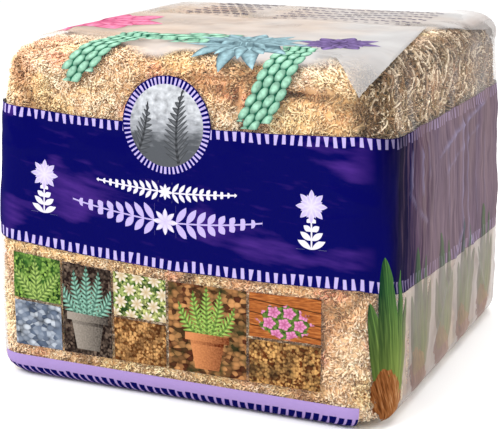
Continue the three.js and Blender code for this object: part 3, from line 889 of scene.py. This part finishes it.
def print_tufts(ink, along, height):
    """Five tufts of tall green leaves on brown roots, from the front's right edge along the right wall."""
    paint = ink.paint
    run = along - FIRST_TUFT + TUFT_PITCH / 2
    number = (run / TUFT_PITCH).floor()
    x = run.mod(TUFT_PITCH) - TUFT_PITCH / 2
    region = number.between(-0.5, 4.5) * (1 - paint.field("fade"))
    a = height - TUFT_FOOT
    green = (a / 52 + 0.25 * paint.noise(paint.vector(along, height * 0.3), 0.5, 3.0)).clamp()
    bright = paint.mix(green, colour("A9B45A"), colour("5E8E48"))
    deep = paint.mix(green, colour("5F7030"), colour("143A26"))
    outer = ((0.16, 6.0, 42.0, 3.6), (-0.13, -5.5, 40.0, 4.2))
    inner = ((0.09, 3.0, 53.0, 3.8), (-0.02, -1.5, 58.0, 6.4))
    for lean, foot, tall, wide in outer + inner:
        b = x - foot - lean * a + 0.0012 * a * a
        ink.lay_shaded(blade(paint, a, b, tall, wide), region, deep, bright)
    grain = paint.noise(paint.vector(along + height * 0.35, height * 0.12), 1.1, 3.0) + x * 0.012
    edge = (paint.noise(paint.vector(along, height * 0.6), 0.33, 4.0) - 0.5) * 14
    root = 13.0 - abs(x + 2.0 + 0.3 * a) - 0.05 * a * a + edge
    brown = paint.ramp(grain, [(0.25, colour("54290F")), (0.5, colour("9A5F33")), (0.8, colour("D9A878"))])
    ink.lay(root.over(3.0) * region * height.over(2), brown)


def print_top(ink, x, height, region):
    """Garlands and flowers over the front top edge: two hanging mint garlands, a level one between them, a
    large blue flower, a violet one and a pink one. Behind them are rows of small dark leaves. A noise
    mottles them all."""
    paint = ink.paint
    rise = height - TOP_RIM
    back = rise - RIM_Y
    step = x / 2.4
    number = step.floor()
    a = step - number - 0.5
    b = ((back - 15).mod(9.0) - 4.5) * 0.5 + (number.mod(2.0) - 0.5) * 0.7
    leaf = (0.2 - a * a - b * b).over(0)
    blocks = x.between(-52, -20) + x.between(-6, 62)
    ink.lay(leaf * blocks * back.between(20, 78), colour("3A3056"))
    ink.lay_blossom(x + 66, rise - 47, region, PINK_DARK, PINK_LIGHT,
                    petals=7, radius=29.0, width=8.0, rings=3)
    a, b = x + 29, rise - 15 - 3 * paint.math("SINE", x * 0.07)
    ink.lay_shaded(beads(paint, a, b, 58.0, 8.5, 5.4), region, MINT_DARK, MINT_LIGHT)
    for foot, top_height, tall, wide in ((-32.0, TOP_RIM + 19, 44.0, 7.4), (45.0, TOP_RIM + 6, 44.0, 8.2)):
        a = top_height - height
        b = x - foot + 0.0075 * a * a
        ink.lay_shaded(beads(paint, a, b, tall, wide, 3.7), region, MINT_DARK, MINT_LIGHT)
    ink.lay_blossom(x - 55, rise - 17, region, VIOLET_DARK, VIOLET_LIGHT,
                    petals=8, radius=17.0, width=3.6, rings=3)
    ink.lay_blossom(x - 21, rise - 8, region, BLUE_DARK, BLUE_LIGHT,
                    petals=11, radius=25.0, width=3.8, rings=4)
    mottle = paint.noise(paint.vector(x, height), 0.45, 4.0) * 1.7 + 0.12
    ink.shade = paint.mix(region, ink.shade, paint.multiply(ink.shade, paint.grey(mottle)))


# Where each zone of the print begins, in the print's own height. The whole print is too much for one
# material in Cycles, so each zone has its own.
ZONES = {"lower": -1000.0, "middle": 69.0, "upper": 93.6}


def painted_side_sheen(paint, along, height):
    """A painted reflection on the band round the corners: a dull mauve sheen that grows from almost black at
    the corner with the distance from it, in upright streaks, with painted light and shade of wrinkles over
    it."""
    streaks = paint.noise(paint.vector(along, height * 0.07, 0.0), 0.42, 4.0)
    past_corner = (abs(along) - 88) * (1 / 50) + (streaks - 0.5) * 1.3
    stops = [(0.0, "09040F"), (0.3, "1E1326"), (0.6, "5B4650"), (1.0, "816D72")]
    dull = paint.ramp(past_corner, [(place, colour(code)) for place, code in stops])
    # Painted light and shade of the wrinkles, as lighter and darker streaks.
    painted_wrinkle_shade = paint.noise(paint.vector(along * 1.3, height * 0.1, 7.0), 0.5, 3.0)
    return paint.multiply(dull, paint.grey(painted_wrinkle_shade * 1.5 + 0.3))


def film_print(paint, zone):
    """One zone of the bag's print, as an Ink. Across is the distance from the middle of the front or back."""
    x, y, _ = paint.split(paint.spot(), 1 / MM)
    map_socket = paint.node("UVMap", {"uv_map": "print"}).outputs["UV"]
    along, height, _ = paint.split(map_socket, 1 / MM)
    across = (along + RIGHT).mod(2 * RIGHT) - RIGHT
    flat = abs(across).under(FLAT_X + CORNER)
    ink = Ink(paint, NAVY)
    if zone == "lower":
        grid = Pictures(paint, across, height, flat)
        print_grounds(ink, grid)
        print_pots(ink, grid)
        print_plants(ink, grid)
        strip = height.between(STRIP_LOW, STRIP_HIGH) * across.between(*STRIP_ENDS)
        ink.lay(strip, STRIP)
        ink.lay(teeth(paint, along, height + 2.4, 8.0, 8.2, 0.34) * strip, NAVY)
    print_band(ink, along, across, height, zone)
    if zone == "middle":
        print_ornaments(ink, across, height, flat)
    if zone == "upper":
        print_medallion(ink, across, height, flat * height.under(TOP_RIM - 10))
    # Painted reflection: the side walls' dull sheen, laid over the print by the sheen field.
    dull = painted_side_sheen(paint, along, height)
    ink.shade = paint.mix(paint.field("sheen"), ink.shade, dull)
    # Painted highlights: pale lines along the crests of folds on the side walls.
    ink.shade = paint.mix(paint.field("crest"), ink.shade, colour("9A93B4"))
    if zone == "lower":
        print_tufts(ink, along, height)
    if zone == "upper":
        print_top(ink, x, height, y.under(12) * height.over(BAND_HIGH + 1))
    return ink


# ---------------------------------------------------------------- materials


def film_material(zone):
    """Clear film with one zone of the print: see-through, with a gloss that grows towards its edges by
    Fresnel's law, a milky veil where layers or air lie under it, and ink where it is printed."""
    paint = Paint("printed_film_" + zone)
    spot = paint.spot()
    crinkle = Wire(paint, paint.cells(spot, 70.0, "DISTANCE_TO_EDGE").outputs["Distance"])
    height = (crinkle * 1.6).clamp() * 0.6 + paint.noise(spot, 190.0, 3.0) * 0.4
    bump = paint.node("Bump", inputs={"Strength": 0.16, "Distance": 0.0012, "Height": height}).outputs[0]
    sheen = Wire(paint, paint.node("Fresnel", inputs={"IOR": 1.45, "Normal": bump}).outputs[0])
    gloss = paint.node("BsdfGlossy", inputs={"Roughness": 0.14, "Normal": bump}).outputs[0]
    through = paint.node("BsdfTransparent", inputs={"Color": (0.99, 0.985, 0.98, 1)}).outputs[0]
    grey_share = (paint.noise(spot, 30.0) * 1.6 - 0.4 + paint.split(spot)[0] * 8.0).clamp()
    milk_colour = paint.mix(grey_share, colour("F6DCC6"), colour("E4E1E0"))
    # Painted shade: the milky film turns greyer on the side walls, by the sheen field.
    milk_colour = paint.mix(paint.field("sheen"), milk_colour, colour("B4A39A"))
    milk = paint.node("BsdfPrincipled", inputs={
        "Base Color": milk_colour, "Roughness": 0.34, "Normal": bump, "Specular IOR Level": 0.3}).outputs[0]
    clear = paint.blend(sheen * 0.2, through, gloss)
    veiled = paint.blend(paint.field("veil"), clear, milk)
    ink = film_print(paint, zone)
    inked = paint.node("BsdfPrincipled", inputs={
        "Base Color": ink.shade, "Roughness": 0.5, "Specular IOR Level": 0.0, "Normal": bump}).outputs[0]
    inked = paint.blend(sheen * 0.04, inked, gloss)
    return paint.finish(paint.blend(ink.cover, veiled, inked))


def moss_material(name, ground):
    """Dried moss: its own tint, broken by fine dark flecks along the middle values of a tangled noise. The
    ground under the strands is darker, as painted shade between them, and the strands have a fine grain."""
    paint = Paint(name)
    spot = paint.spot()
    tint = paint.node("Attribute", {"attribute_name": "tint"}).outputs["Color"]
    tangle = paint.noise(spot, 520.0, 3.0, 1.6)
    line = (1.3 - abs(tangle - 0.5) * 20).clamp()
    some = ((paint.noise(spot, 260.0, 2.0) - 0.44) * 9).clamp()
    flecks = paint.mix(line * some, (1, 1, 1, 1), (0.4, 0.27, 0.18, 1))
    if ground:
        # Painted shade between the strands.
        shade = (0.84, 0.71, 0.57, 1)
    else:
        shade = paint.grey(paint.noise(spot, 1500.0, 2.0) * 0.6 + 0.74)
    surface = paint.node("BsdfPrincipled", inputs={
        "Base Color": paint.multiply(paint.multiply(tint, flecks), shade), "Roughness": 0.75,
        "Specular IOR Level": 0.2}).outputs[0]
    return paint.finish(surface)


# ---------------------------------------------------------------- the film bag

# On the top's front edge, the line behind which the film looks milky.
VEIL_EDGE_X = [-90, -68.5, -36.5, -22, -9, 0, 10.6, 24, 36.5, 52.4, 64, 90]
VEIL_EDGE_Y = [-62, -67, -70, -80, -84, -78, -76, -82, -85, -85, -85, -85]


def flap_edge(run):
    """The x of the front flap's crisp right end at a distance back, run, which goes on down the front."""
    at = [-89.5, -84, -82, -80, -76, -72, -66, -50, -20, 7.4, 12]
    return np.interp(run, at, [74.5, 76.4, 78.1, 79.1, 80.0, 80.4, 80.0, 78.3, 74.6, 70.6, 69.8])


def thin_patches(points):
    """Where the milky top is thin enough to see the moss: warm patches over its left and back parts."""
    x, y = points[..., 0], points[..., 1]
    bare = 0.32 * smooth(-10, -50, x) + 0.2 * smooth(10, 60, y)
    return smooth(-0.05, 0.4, rough(points * [1, 1, 0], 24, 38) + bare)


def veil_share(points, normals, along, up):
    """How milky the film looks, from 0 where it clings to the moss to 1 where layers or air lie under it:
    the folded top but for the window at its right, the loose back right corner and the gusseted sides."""
    x, y, z = points[..., 0], points[..., 1], points[..., 2]
    patches = rough(points, 14, 31)
    streaks = rough(points * [1, 1, 0.12], 7, 33)
    side = smooth(0.6, 0.95, np.abs(normals[..., 0]))
    low_side = side * (1 - smooth(60, 75, z)) * (0.42 + 0.16 * smooth(-60, -14, y) + 0.3 * streaks)
    high_side = side * smooth(100, 112, z) * (0.02 + 0.28 * smooth(0, 60, y) + 0.18 * streaks)
    front = smooth(-1.5, 2.5, y - np.interp(x, VEIL_EDGE_X, VEIL_EDGE_Y) + 2.5 * patches)
    behind = y - 7.4 - (x - 71.2) * 3.3 - (HEIGHT - z) * 2.4
    window = smooth(-4, -1, x - flap_edge(y)) * (1 - smooth(-2, 3, behind))
    ends = (1 - smooth(-3, 1, -80 - x + 3 * patches)) * (1 - smooth(-3, 1, y - 80 + 3 * patches))
    cloudy = 0.74 + 0.2 * patches - 0.45 * thin_patches(points)
    top = smooth(HEIGHT - 5, HEIGHT - 2, z) * front * ends * (1 - window) * cloudy
    loose = smooth(1.6, 1.8, x / HALF_X + y / HALF_Y) * smooth(120, 134, z) * 0.5
    # Milky lines along the folds: partly the film whitened where it is creased, partly painted highlights on
    # the folds.
    creases = np.clip(np.abs(fold_height(along, up)) * 0.3, 0, 0.35)
    return np.clip(0.03 + np.maximum.reduce([low_side, high_side, top, loose, creases]), 0.02, 0.9)


def film_fields(points, normals, along, up):
    """The film's numbers at each point: the milky veil, the band's painted purple gloss, the side walls'
    painted dull sheen, painted highlights along the crests of folds, and how far the leaf tufts' ink fades
    behind haze."""
    facing = np.abs(normals[..., 0])
    side = np.where(points[..., 1] > 0, smooth(0.02, 0.8, facing), smooth(0.5, 0.85, facing))
    back = smooth(-88, -74, points[..., 1] + 8 * rough(points * [1, 1, 0.5], 16, 36))
    streaks = rough(points * [1, 1, 0.12], 9, 35)
    height = fold_height(along, up)
    return {
        "veil": veil_share(points, normals, along, up),
        # Painted gloss on the band: where the drapes would catch the light.
        "glow": smooth(0.02, 0.42, drape(along, up) + 0.35 * rough(points * [0.5, 0.5, 2.2], 34, 15)),
        # Painted reflection: how strongly the dull sheen is painted over the side walls.
        "sheen": np.clip(side * back * (0.8 + 0.25 * streaks), 0, 0.92),
        # Painted highlights along the crests of folds, on the side walls only.
        "crest": np.clip(height - 0.25, 0, 0.8) * 0.75 * smooth(0.85, 0.99, np.abs(normals[..., 0])),
        "fade": side * smooth(-74, -56, points[..., 1]) * 0.45,
    }


def film_bag(materials):
    """The bag's skin: the bale's form, moved out by film_height along its normals, closed at both poles."""
    columns, ups = 540, stations(12, 50, 1.25)
    along = np.arange(columns) / columns * GIRTH - GIRTH / 2
    a, u = np.meshgrid(along, ups)
    points, normals = skin(a, u)
    fields = film_fields(points, normals, a, u)
    points = points + normals * film_height(a, u)[..., None]
    poles = np.array([[0, 0, 0], [0, 0, HEIGHT]])
    quads, fans, quad_at, fan_at = closed_grid(len(ups), columns)
    at_column, at_row = (np.concatenate([q.ravel(), f.ravel()]) for q, f in zip(quad_at, fan_at))
    corner_along = at_column / columns * GIRTH - GIRTH / 2
    heights = np.append(ups, [TOP, UNDERSIDE])  # row -1 is the pole underneath
    place = np.stack([corner_along, print_height(corner_along, heights[at_row])], -1) * MM
    starts = np.concatenate([np.arange(len(quads)) * 4, len(quads) * 4 + np.arange(len(fans)) * 3])
    zones = np.searchsorted(list(ZONES.values()), place[starts, 1] / MM) - 1
    return mesh_piece(
        "film_bag_skin",
        np.concatenate([points.reshape(-1, 3), poles]),
        [quads, fans],
        materials,
        "film_bag",
        maps={"print": place},
        fields={name: np.append(value.ravel(), [0, value[-1, 0]]) for name, value in fields.items()},
        zones=zones,
    )


# ---------------------------------------------------------------- the moss


def tone(code):
    """A hexadecimal screen colour as linear red, green and blue, at full brightness."""
    return np.array(colour(code)[:3]) * LIGHT


CREAM, STRAW, ORANGE, BROWN = tone("FDE8CE"), tone("F3CFA2"), tone("E2A87C"), tone("6E4A2A")
ROSE, OLIVE, TAN, PALE_GREY = tone("E8957C"), tone("80693F"), tone("9C7348"), tone("E6D6BC")
YELLOW = tone("FBE0A6")


def toward(shade, target, share, most=1.0):
    """Colours moved towards others by each point's share, or by most of it."""
    return shade + (target - shade) * most * share[..., None]


def window_share(points):
    """1 in the clear window over the moss at the right of the top, and 0 away from it."""
    return smooth(68, 80, points[..., 0]) * smooth(100, 112, points[..., 2])


def moss_tint(points, chance):
    """The moss's colour at each point: cream and straw over the clumps, orange in warm patches, rosy spots, a
    few brown strands, and olive and tan at the top of the right side. Painted light and shade lie over this:
    cream towards the clumps' middles, straw and orange towards the creases, brown in the deepest creases, and
    darker moss in the clear window. Two chances from 0 to 1 set each strand off from its neighbours."""
    one, two = chance[..., 0], chance[..., 1]
    border = crease_distance(points)
    # Painted light and shade: the tint leans to cream over the clumps' middles and to straw and orange
    # towards the creases.
    crease_shade_share = np.exp(-((border / 7) ** 2)) * (0.4 + 0.6 * crease_share(points))
    warm = smooth(0.35, 0.85, 0.5 * noise(points, 20, 51) + 0.4 * one + 0.25 * crease_shade_share)
    orange = smooth(0.58, 0.88, 0.56 * noise(points, 13, 53) + 0.3 * two + 0.28 * crease_shade_share) * 0.62
    # Painted shade: brown along the middle of the open creases; the next line adds a few strands that are
    # brown by chance.
    deep = 0.6 * crease_share(points) * np.exp(-((border / 1.3) ** 2))
    brown = np.maximum(smooth(0.91, 0.95, one) * 0.7, deep)
    yellow = smooth(0.4, 0.7, noise(points, 11, 59)) * 0.55
    rosy = smooth(0.64, 0.8, noise(points, 9, 57)) * two * 0.7
    window = window_share(points)
    shade = toward(CREAM, STRAW, warm)
    for target, share in ((YELLOW, yellow), (ORANGE, orange), (ROSE, rosy)):
        shade = toward(shade, target, share)
    dull = toward(TAN, OLIVE, smooth(0.3, 0.8, one))
    dull = toward(dull, PALE_GREY, smooth(0.66, 0.95, two))
    shade = toward(shade, dull, window, 0.85)
    shade = toward(shade, BROWN, brown)
    # Painted shade: moss in the clear window is darker, the more so higher up, and its strands differ more in
    # brightness by chance.
    bright = 0.92 + 0.2 * two - window * (0.62 - 0.6 * two + 0.3 * smooth(122, 140, points[..., 2]))
    return np.clip(shade * bright[..., None], 0, 0.95)


CORE_FOOT = 1.2  # the lowest that the moss lies, inside the film's underside


def moss_core():
    """The lumpy mass under the strands, as closed rings from pole to pole."""
    columns, ups = 220, stations(10, 20, 3.0)
    along = np.arange(columns) / columns * GIRTH
    a, u = np.meshgrid(along, ups)
    points, _ = moss_skin(a, u)
    points[..., 2] = np.maximum(points[..., 2], CORE_FOOT)
    poles = np.array([[0, 0, CORE_FOOT], [0, 0, HEIGHT - 4.0]])
    quads, fans, _, _ = closed_grid(len(ups), columns)
    points = np.concatenate([points.reshape(-1, 3), poles])
    # Painted shade: the ground is darker in the clear window, by a lower second chance there.
    tint = moss_tint(points, np.stack([0.5 + 0 * points[:, 0], 0.5 - 0.4 * window_share(points)], -1))
    material = moss_material("moss_ground", True)
    return mesh_piece(
        "moss_core", points, [quads, fans], [material], "moss_block", tints={"tint": tint}
    )


def spindles(paths, widths, ups):
    """Closed rods along paths of shape (rods, steps, 3), pointed at both ends. The rings between have three
    corners each, on an oval round the path, square to its direction and flatter towards the bale."""
    rods, steps, _ = paths.shape
    rings = steps - 2
    ahead = np.gradient(paths, axis=1)[:, 1:-1]
    ahead /= np.linalg.norm(ahead, axis=-1, keepdims=True)
    side = np.cross(ahead, ups[:, 1:-1])
    side /= np.linalg.norm(side, axis=-1, keepdims=True) + 1e-9
    lift = np.cross(side, ahead)
    angle = 2 * math.pi * np.arange(3) / 3 + math.pi / 2
    ring = side[:, :, None] * np.cos(angle)[:, None] + 0.75 * lift[:, :, None] * np.sin(angle)[:, None]
    rims = (paths[:, 1:-1, None] + ring * widths[:, :, None, None] / 2).reshape(rods, -1, 3)
    points = np.concatenate([rims, paths[:, :1], paths[:, -1:]], 1)
    count = points.shape[1]
    base = np.arange(rods)[:, None, None] * count
    k, c = np.meshgrid(np.arange(rings - 1), np.arange(3), indexing="ij")
    here, beside = (k * 3 + c).ravel(), (k * 3 + (c + 1) % 3).ravel()
    quads = base + np.stack([here, here + 3, beside + 3, beside], -1)
    c = np.arange(3)
    last = (rings - 1) * 3
    start = np.stack([np.full(3, count - 2), c, (c + 1) % 3], -1)
    end = np.stack([np.full(3, count - 1), last + (c + 1) % 3, last + c], -1)
    tips = base + np.concatenate([start, end])
    return points.reshape(-1, 3), quads.reshape(-1, 4), tips.reshape(-1, 3), count


def strand_paths(along, up, lengths, curls, steps, lie):
    """Curved lines over the moss. Each starts at its place, heads a random way and turns steadily by its
    curl, with a wriggle. It dips into the moss at both ends and arches lie millimetres above it between."""
    count = len(along)
    t = np.linspace(0, 1, steps)
    heading = rng.random(count)[:, None] * 2 * math.pi + curls[:, None] * (t - 0.5)
    heading = heading + 0.5 * np.sin(2 * math.pi * (t + rng.random(count)[:, None]))
    stride = lengths[:, None] / (steps - 1)
    share = np.maximum(np.interp(up, UP, UP_SHARE), 0.3)[:, None]
    a = along[:, None] + np.cumsum(np.cos(heading) * stride / share, 1)
    u = up[:, None] + np.cumsum(np.sin(heading) * stride, 1)
    points, normals = moss_skin(a, np.clip(u, UNDERSIDE + 12, TOP - 6))
    arch = np.sin(math.pi * t) ** 0.6
    return points + normals * (-0.5 + (0.5 + lie[:, None]) * arch)[..., None], normals


def moss_strands(name, count, along, up, length, width, steps, curl, material, light=0.0):
    """One piece of many strands, with random places, lengths and tints drawn from the seeded source. Light
    is the least brightness chance that a strand has."""
    a = rng.uniform(*along, count)
    u = rng.uniform(*up, count)
    sizes = rng.uniform(*length, count)
    curls = rng.normal(0, curl, count)
    paths, normals = strand_paths(a, u, sizes, curls, steps, rng.uniform(0.0, 1.3, count))
    taper = 0.6 + 0.4 * np.sin(math.pi * np.linspace(0, 1, steps)[1:-1])
    widths = rng.uniform(*width, count)[:, None] * taper
    points, quads, tips, corners = spindles(paths, widths, normals)
    tint = moss_tint(paths[:, steps // 2], rng.random((count, 2)) * [1, 1 - light] + [0, light])
    tint = np.repeat(tint, corners, 0)
    faces = [quads, tips]
    return mesh_piece(name, points, faces, [material], "moss_block", tints={"tint": tint})


def moss():
    """The core and its strands: short ones all over, crumbs and long ones high on the walls, and curls in
    the clear window. Their order sets what each draws from the seeded source."""
    moss_core()
    material = moss_material("moss_strands", False)
    short = dict(length=(3.0, 6.0), width=(0.6, 1.15), steps=3, curl=1.1, material=material)
    crumb = dict(length=(2.2, 5.0), width=(0.55, 1.15), steps=3, curl=1.6, material=material)
    long = dict(length=(6.0, 12.0), width=(0.55, 0.9), steps=8, curl=3.0, material=material)
    for wall, middle in (("front", 0), ("right", RIGHT), ("back", 2 * RIGHT), ("left", 3 * RIGHT)):
        span = (middle - RIGHT / 2, middle + RIGHT / 2)
        moss_strands("moss_low_" + wall, 9000, span, (1.0, 60.0), **short)
        moss_strands("moss_high_" + wall, 12000, span, (107.0, TOP_RIM + 14), **crumb)
        moss_strands("moss_long_" + wall, 420, span, (105.0, TOP_RIM + 16), **long)
    curls = dict(length=(8.0, 18.0), width=(0.9, 1.6), steps=8, curl=4.5, material=material, light=0.45)
    moss_strands("moss_curls", 1500, (RIGHT - 82, RIGHT + 60), (113.0, TOP_RIM + 16), **curls)
    moss_strands("moss_top", 8000, (0, GIRTH), (TOP_RIM + 8, TOP - 8), **short)


# ---------------------------------------------------------------- the folded top

SHEET = 0.12  # half the drawn thickness of a folded layer
WALL_TOP, EDGE_Y = HEIGHT - TOP_DROP, 84.0  # past EDGE_Y a layer hangs straight down
HALVINGS = 22


def top_ring(up):
    """Half sizes and corner radius of the bale's rounded rectangle at a height on its rounded top."""
    z, inset = np.interp(up, UP, UP_Z), np.interp(up, UP, UP_INSET)
    grow = swell(z) - inset
    return HALF_X + grow, HALF_Y + grow, corner_radius(inset), z


def over_top(x, run):
    """The film's smooth form over the top. Run is y on the top, and past EDGE_Y it goes on down the front
    wall. The ring that passes over a place is found by halving. Returns points and normals."""
    y = np.clip(run, -EDGE_Y, EDGE_Y)
    low, high = np.full(x.shape, WALL_TOP), np.full(x.shape, TOP_RIM)
    for _ in range(HALVINGS):
        up = (low + high) / 2
        half_x, half_y, radius, _ = top_ring(up)
        out_x, out_y = np.abs(x) - half_x + radius, np.abs(y) - half_y + radius
        away = np.hypot(np.maximum(out_x, 0), np.maximum(out_y, 0)) + np.minimum(np.maximum(out_x, out_y), 0)
        outside = away > radius
        low, high = np.where(outside, low, up), np.where(outside, up, high)
    drop = np.maximum(-EDGE_Y - run, 0)
    z = top_ring(up)[3] - drop
    up = np.where(drop > 0, np.interp(z, UP_Z[UP > 0], UP[UP > 0]), up)
    half_x, half_y, radius, _ = top_ring(up)
    out_x = np.maximum(np.abs(x) - half_x + radius, 0)
    hung = -(half_y - radius) - np.sqrt(np.maximum(radius**2 - out_x**2, 0))
    y = np.where(drop > 0, hung, y)
    out_y = np.maximum(np.abs(y) - half_y + radius, 0)
    size = np.hypot(out_x, out_y) + 1e-9
    tilt = np.arcsin(np.clip((z - WALL_TOP) / TOP_DROP, 0, 1))
    out = np.stack([np.sign(x) * out_x / size, np.sign(y) * out_y / size, 0 * x], -1)
    normals = np.cos(tilt)[..., None] * out + np.sin(tilt)[..., None] * np.array([0, 0, 1.0])
    normals = np.where((z > HEIGHT - 0.01)[..., None], [0, 0, 1.0], normals)
    return np.stack([x, y, z], -1), normals


def folded_sheet(name, material, left, right, run, lift, veil, across=60):
    """A layer of film on the top. At each distance back, run, it reaches from left to right. Its two faces
    lie SHEET either side of its middle, lift above the film, and join at the rim. Lift and veil are
    functions of the place."""
    rows = len(run)
    t = np.linspace(0, 1, across)
    y = np.repeat(run[:, None], across, 1)
    x = left[:, None] + (right - left)[:, None] * t
    points, normals = over_top(x, y)
    points = points + normals * lift(x, y, left[:, None])[..., None]
    shell = np.stack([points - normals * SHEET, points + normals * SHEET])
    low, high = np.arange(2 * rows * across).reshape(2, rows, across)
    faces = np.concatenate([
        np.stack([high[:-1, :-1], high[:-1, 1:], high[1:, 1:], high[1:, :-1]], -1).reshape(-1, 4),
        np.stack([low[:-1, :-1], low[1:, :-1], low[1:, 1:], low[:-1, 1:]], -1).reshape(-1, 4),
        np.stack([low[0, :-1], low[0, 1:], high[0, 1:], high[0, :-1]], -1),
        np.stack([low[-1, 1:], low[-1, :-1], high[-1, :-1], high[-1, 1:]], -1),
        np.stack([low[1:, 0], low[:-1, 0], high[:-1, 0], high[1:, 0]], -1),
        np.stack([low[:-1, -1], low[1:, -1], high[1:, -1], high[:-1, -1]], -1),
    ])
    height = np.where(y > -RIM_Y, TOP_RIM + y + RIM_Y, TOP_RIM + (y + RIM_Y) * 1.15)
    place = np.tile((np.stack([x, height], -1) * MM).reshape(-1, 2), (2, 1))
    share = np.tile(veil(x, y, points).ravel(), 2)
    zero = np.zeros(len(share))
    return mesh_piece(
        name, shell.reshape(-1, 3), [faces], [material], "film_bag",
        maps={"print": place[faces.ravel()]},
        fields={"veil": share} | dict.fromkeys(("glow", "sheen", "crest", "fade"), zero),
    )


def folded_top(material):
    """The top end's layers: the back flap, and over it the front flap, whose right end runs crisp and
    straight to a tip that hangs over the front edge. Their other edges dip under the film."""

    def wavy(x, y, height):
        grain = rough(np.stack([x, y, 0 * x], -1), 9, 67)
        return height + 0.3 * np.sin(x / 11) * np.sin(y / 14 + 1) + 0.15 * grain

    def back_lift(x, y, left):
        return wavy(x, y, 0.35) - 1.1 * (1 - smooth(0, 9, x - left)) - 0.9 * smooth(66, 80, y)

    def front_lift(x, y, left):
        dip = (1 - smooth(0, 10, x - left)) * smooth(-80, -74, y)
        return 0.6 + wavy(x, y, 0.2) * smooth(-82, -66, y) - 1.6 * dip

    def back_veil(x, y, points):
        return np.clip(0.5 + 0.15 * rough(points, 14, 65) - 0.4 * thin_patches(points), 0.03, 0.9)

    def front_veil(x, y, points):
        hung = 0.16 * (1 - smooth(-84, -66, y))
        thin = 0.2 * thin_patches(points) * (x < 20)
        return np.clip(0.58 + 0.16 * rough(points, 12, 63) - thin - hung, 0.05, 0.9)

    run = np.linspace(-12, 84, 60)
    right = np.interp(run, [-12, 7.4, 38.6, 60, 84], [62, 71.2, 79.6, 82, 82])
    folded_sheet("film_back_flap", material, 0 * run - 80, right, run, back_lift, back_veil)
    run = np.concatenate([np.linspace(-89.5, -70, 30, endpoint=False), np.linspace(-70, 12, 50)])
    at = [-89.5, -88, -84, -80, -76, -73, -66, -56, -48]
    left = np.interp(run, at, [74.3, 73.2, 69.0, 64.6, 61.5, 58, 6, -56, -76])
    folded_sheet("film_front_flap", material, left, flap_edge(run), run, front_lift, front_veil, 90)


# ---------------------------------------------------------------- studio

CAMERA, LOOK = Vector((242.2, -560.0, 216.0)), Vector((-6.7, 0.0, 56.8))
LENS, SENSOR = 100.8, 36.0
LIGHTS_AIM = Vector((0, 0, 0.07))  # where the lights aim, in metres
LIGHTS = (  # name, place, width and height in metres, and watts
    ("key", (-0.55, -0.95, 1.15), 0.8, 0.8, 24),
    ("right", (1.3, 0.55, 0.55), 1.2, 0.9, 12),
    ("top", (0.1, 0.3, 1.4), 1.0, 1.0, 14),
)


def studio():
    """The camera, a plain pale floor, a pale room, and the lights: a broad key from the front left, one at
    the right and one overhead."""
    scene = bpy.context.scene
    scene.view_settings.view_transform = "Standard"
    scene.cycles.use_denoising = True
    lens = bpy.data.cameras.new("camera")
    lens.lens, lens.sensor_width = LENS, SENSOR
    lens.clip_start, lens.clip_end = 0.01, 20
    camera = bpy.data.objects.new("camera", lens)
    camera.location = CAMERA * MM
    camera.rotation_euler = (LOOK - CAMERA).to_track_quat("-Z", "Y").to_euler()
    bpy.context.collection.objects.link(camera)
    scene.camera = camera

    paint = Paint("floor")
    surface = paint.node("BsdfPrincipled", inputs={"Base Color": (0.88, 0.88, 0.88, 1), "Roughness": 0.9})
    floor = bpy.data.meshes.new("floor")
    floor.from_pydata([(-6, -6, 0), (6, -6, 0), (6, 6, 0), (-6, 6, 0)], [], [(0, 1, 2, 3)])
    floor.materials.append(paint.finish(surface.outputs[0]))
    floor = bpy.data.objects.new("floor", floor)
    bpy.context.collection.objects.link(floor)

    world = bpy.data.worlds.new("room")
    world.use_nodes = True
    world.node_tree.nodes["Background"].inputs[0].default_value = (1.0, 1.0, 1.0, 1)
    world.node_tree.nodes["Background"].inputs[1].default_value = 0.85
    scene.world = world

    for name, place, wide, tall, power in LIGHTS:
        light = bpy.data.lights.new(name, "AREA")
        light.shape, light.size, light.size_y, light.energy = "RECTANGLE", wide, tall, power
        lamp = bpy.data.objects.new(name, light)
        lamp.location = place
        lamp.rotation_euler = (LIGHTS_AIM - lamp.location).to_track_quat("-Z", "Y").to_euler()
        lamp.visible_glossy = False
        bpy.context.collection.objects.link(lamp)


films = [film_material(zone) for zone in ZONES]
film_bag(films)
folded_top(films[-1])
moss()
studio()
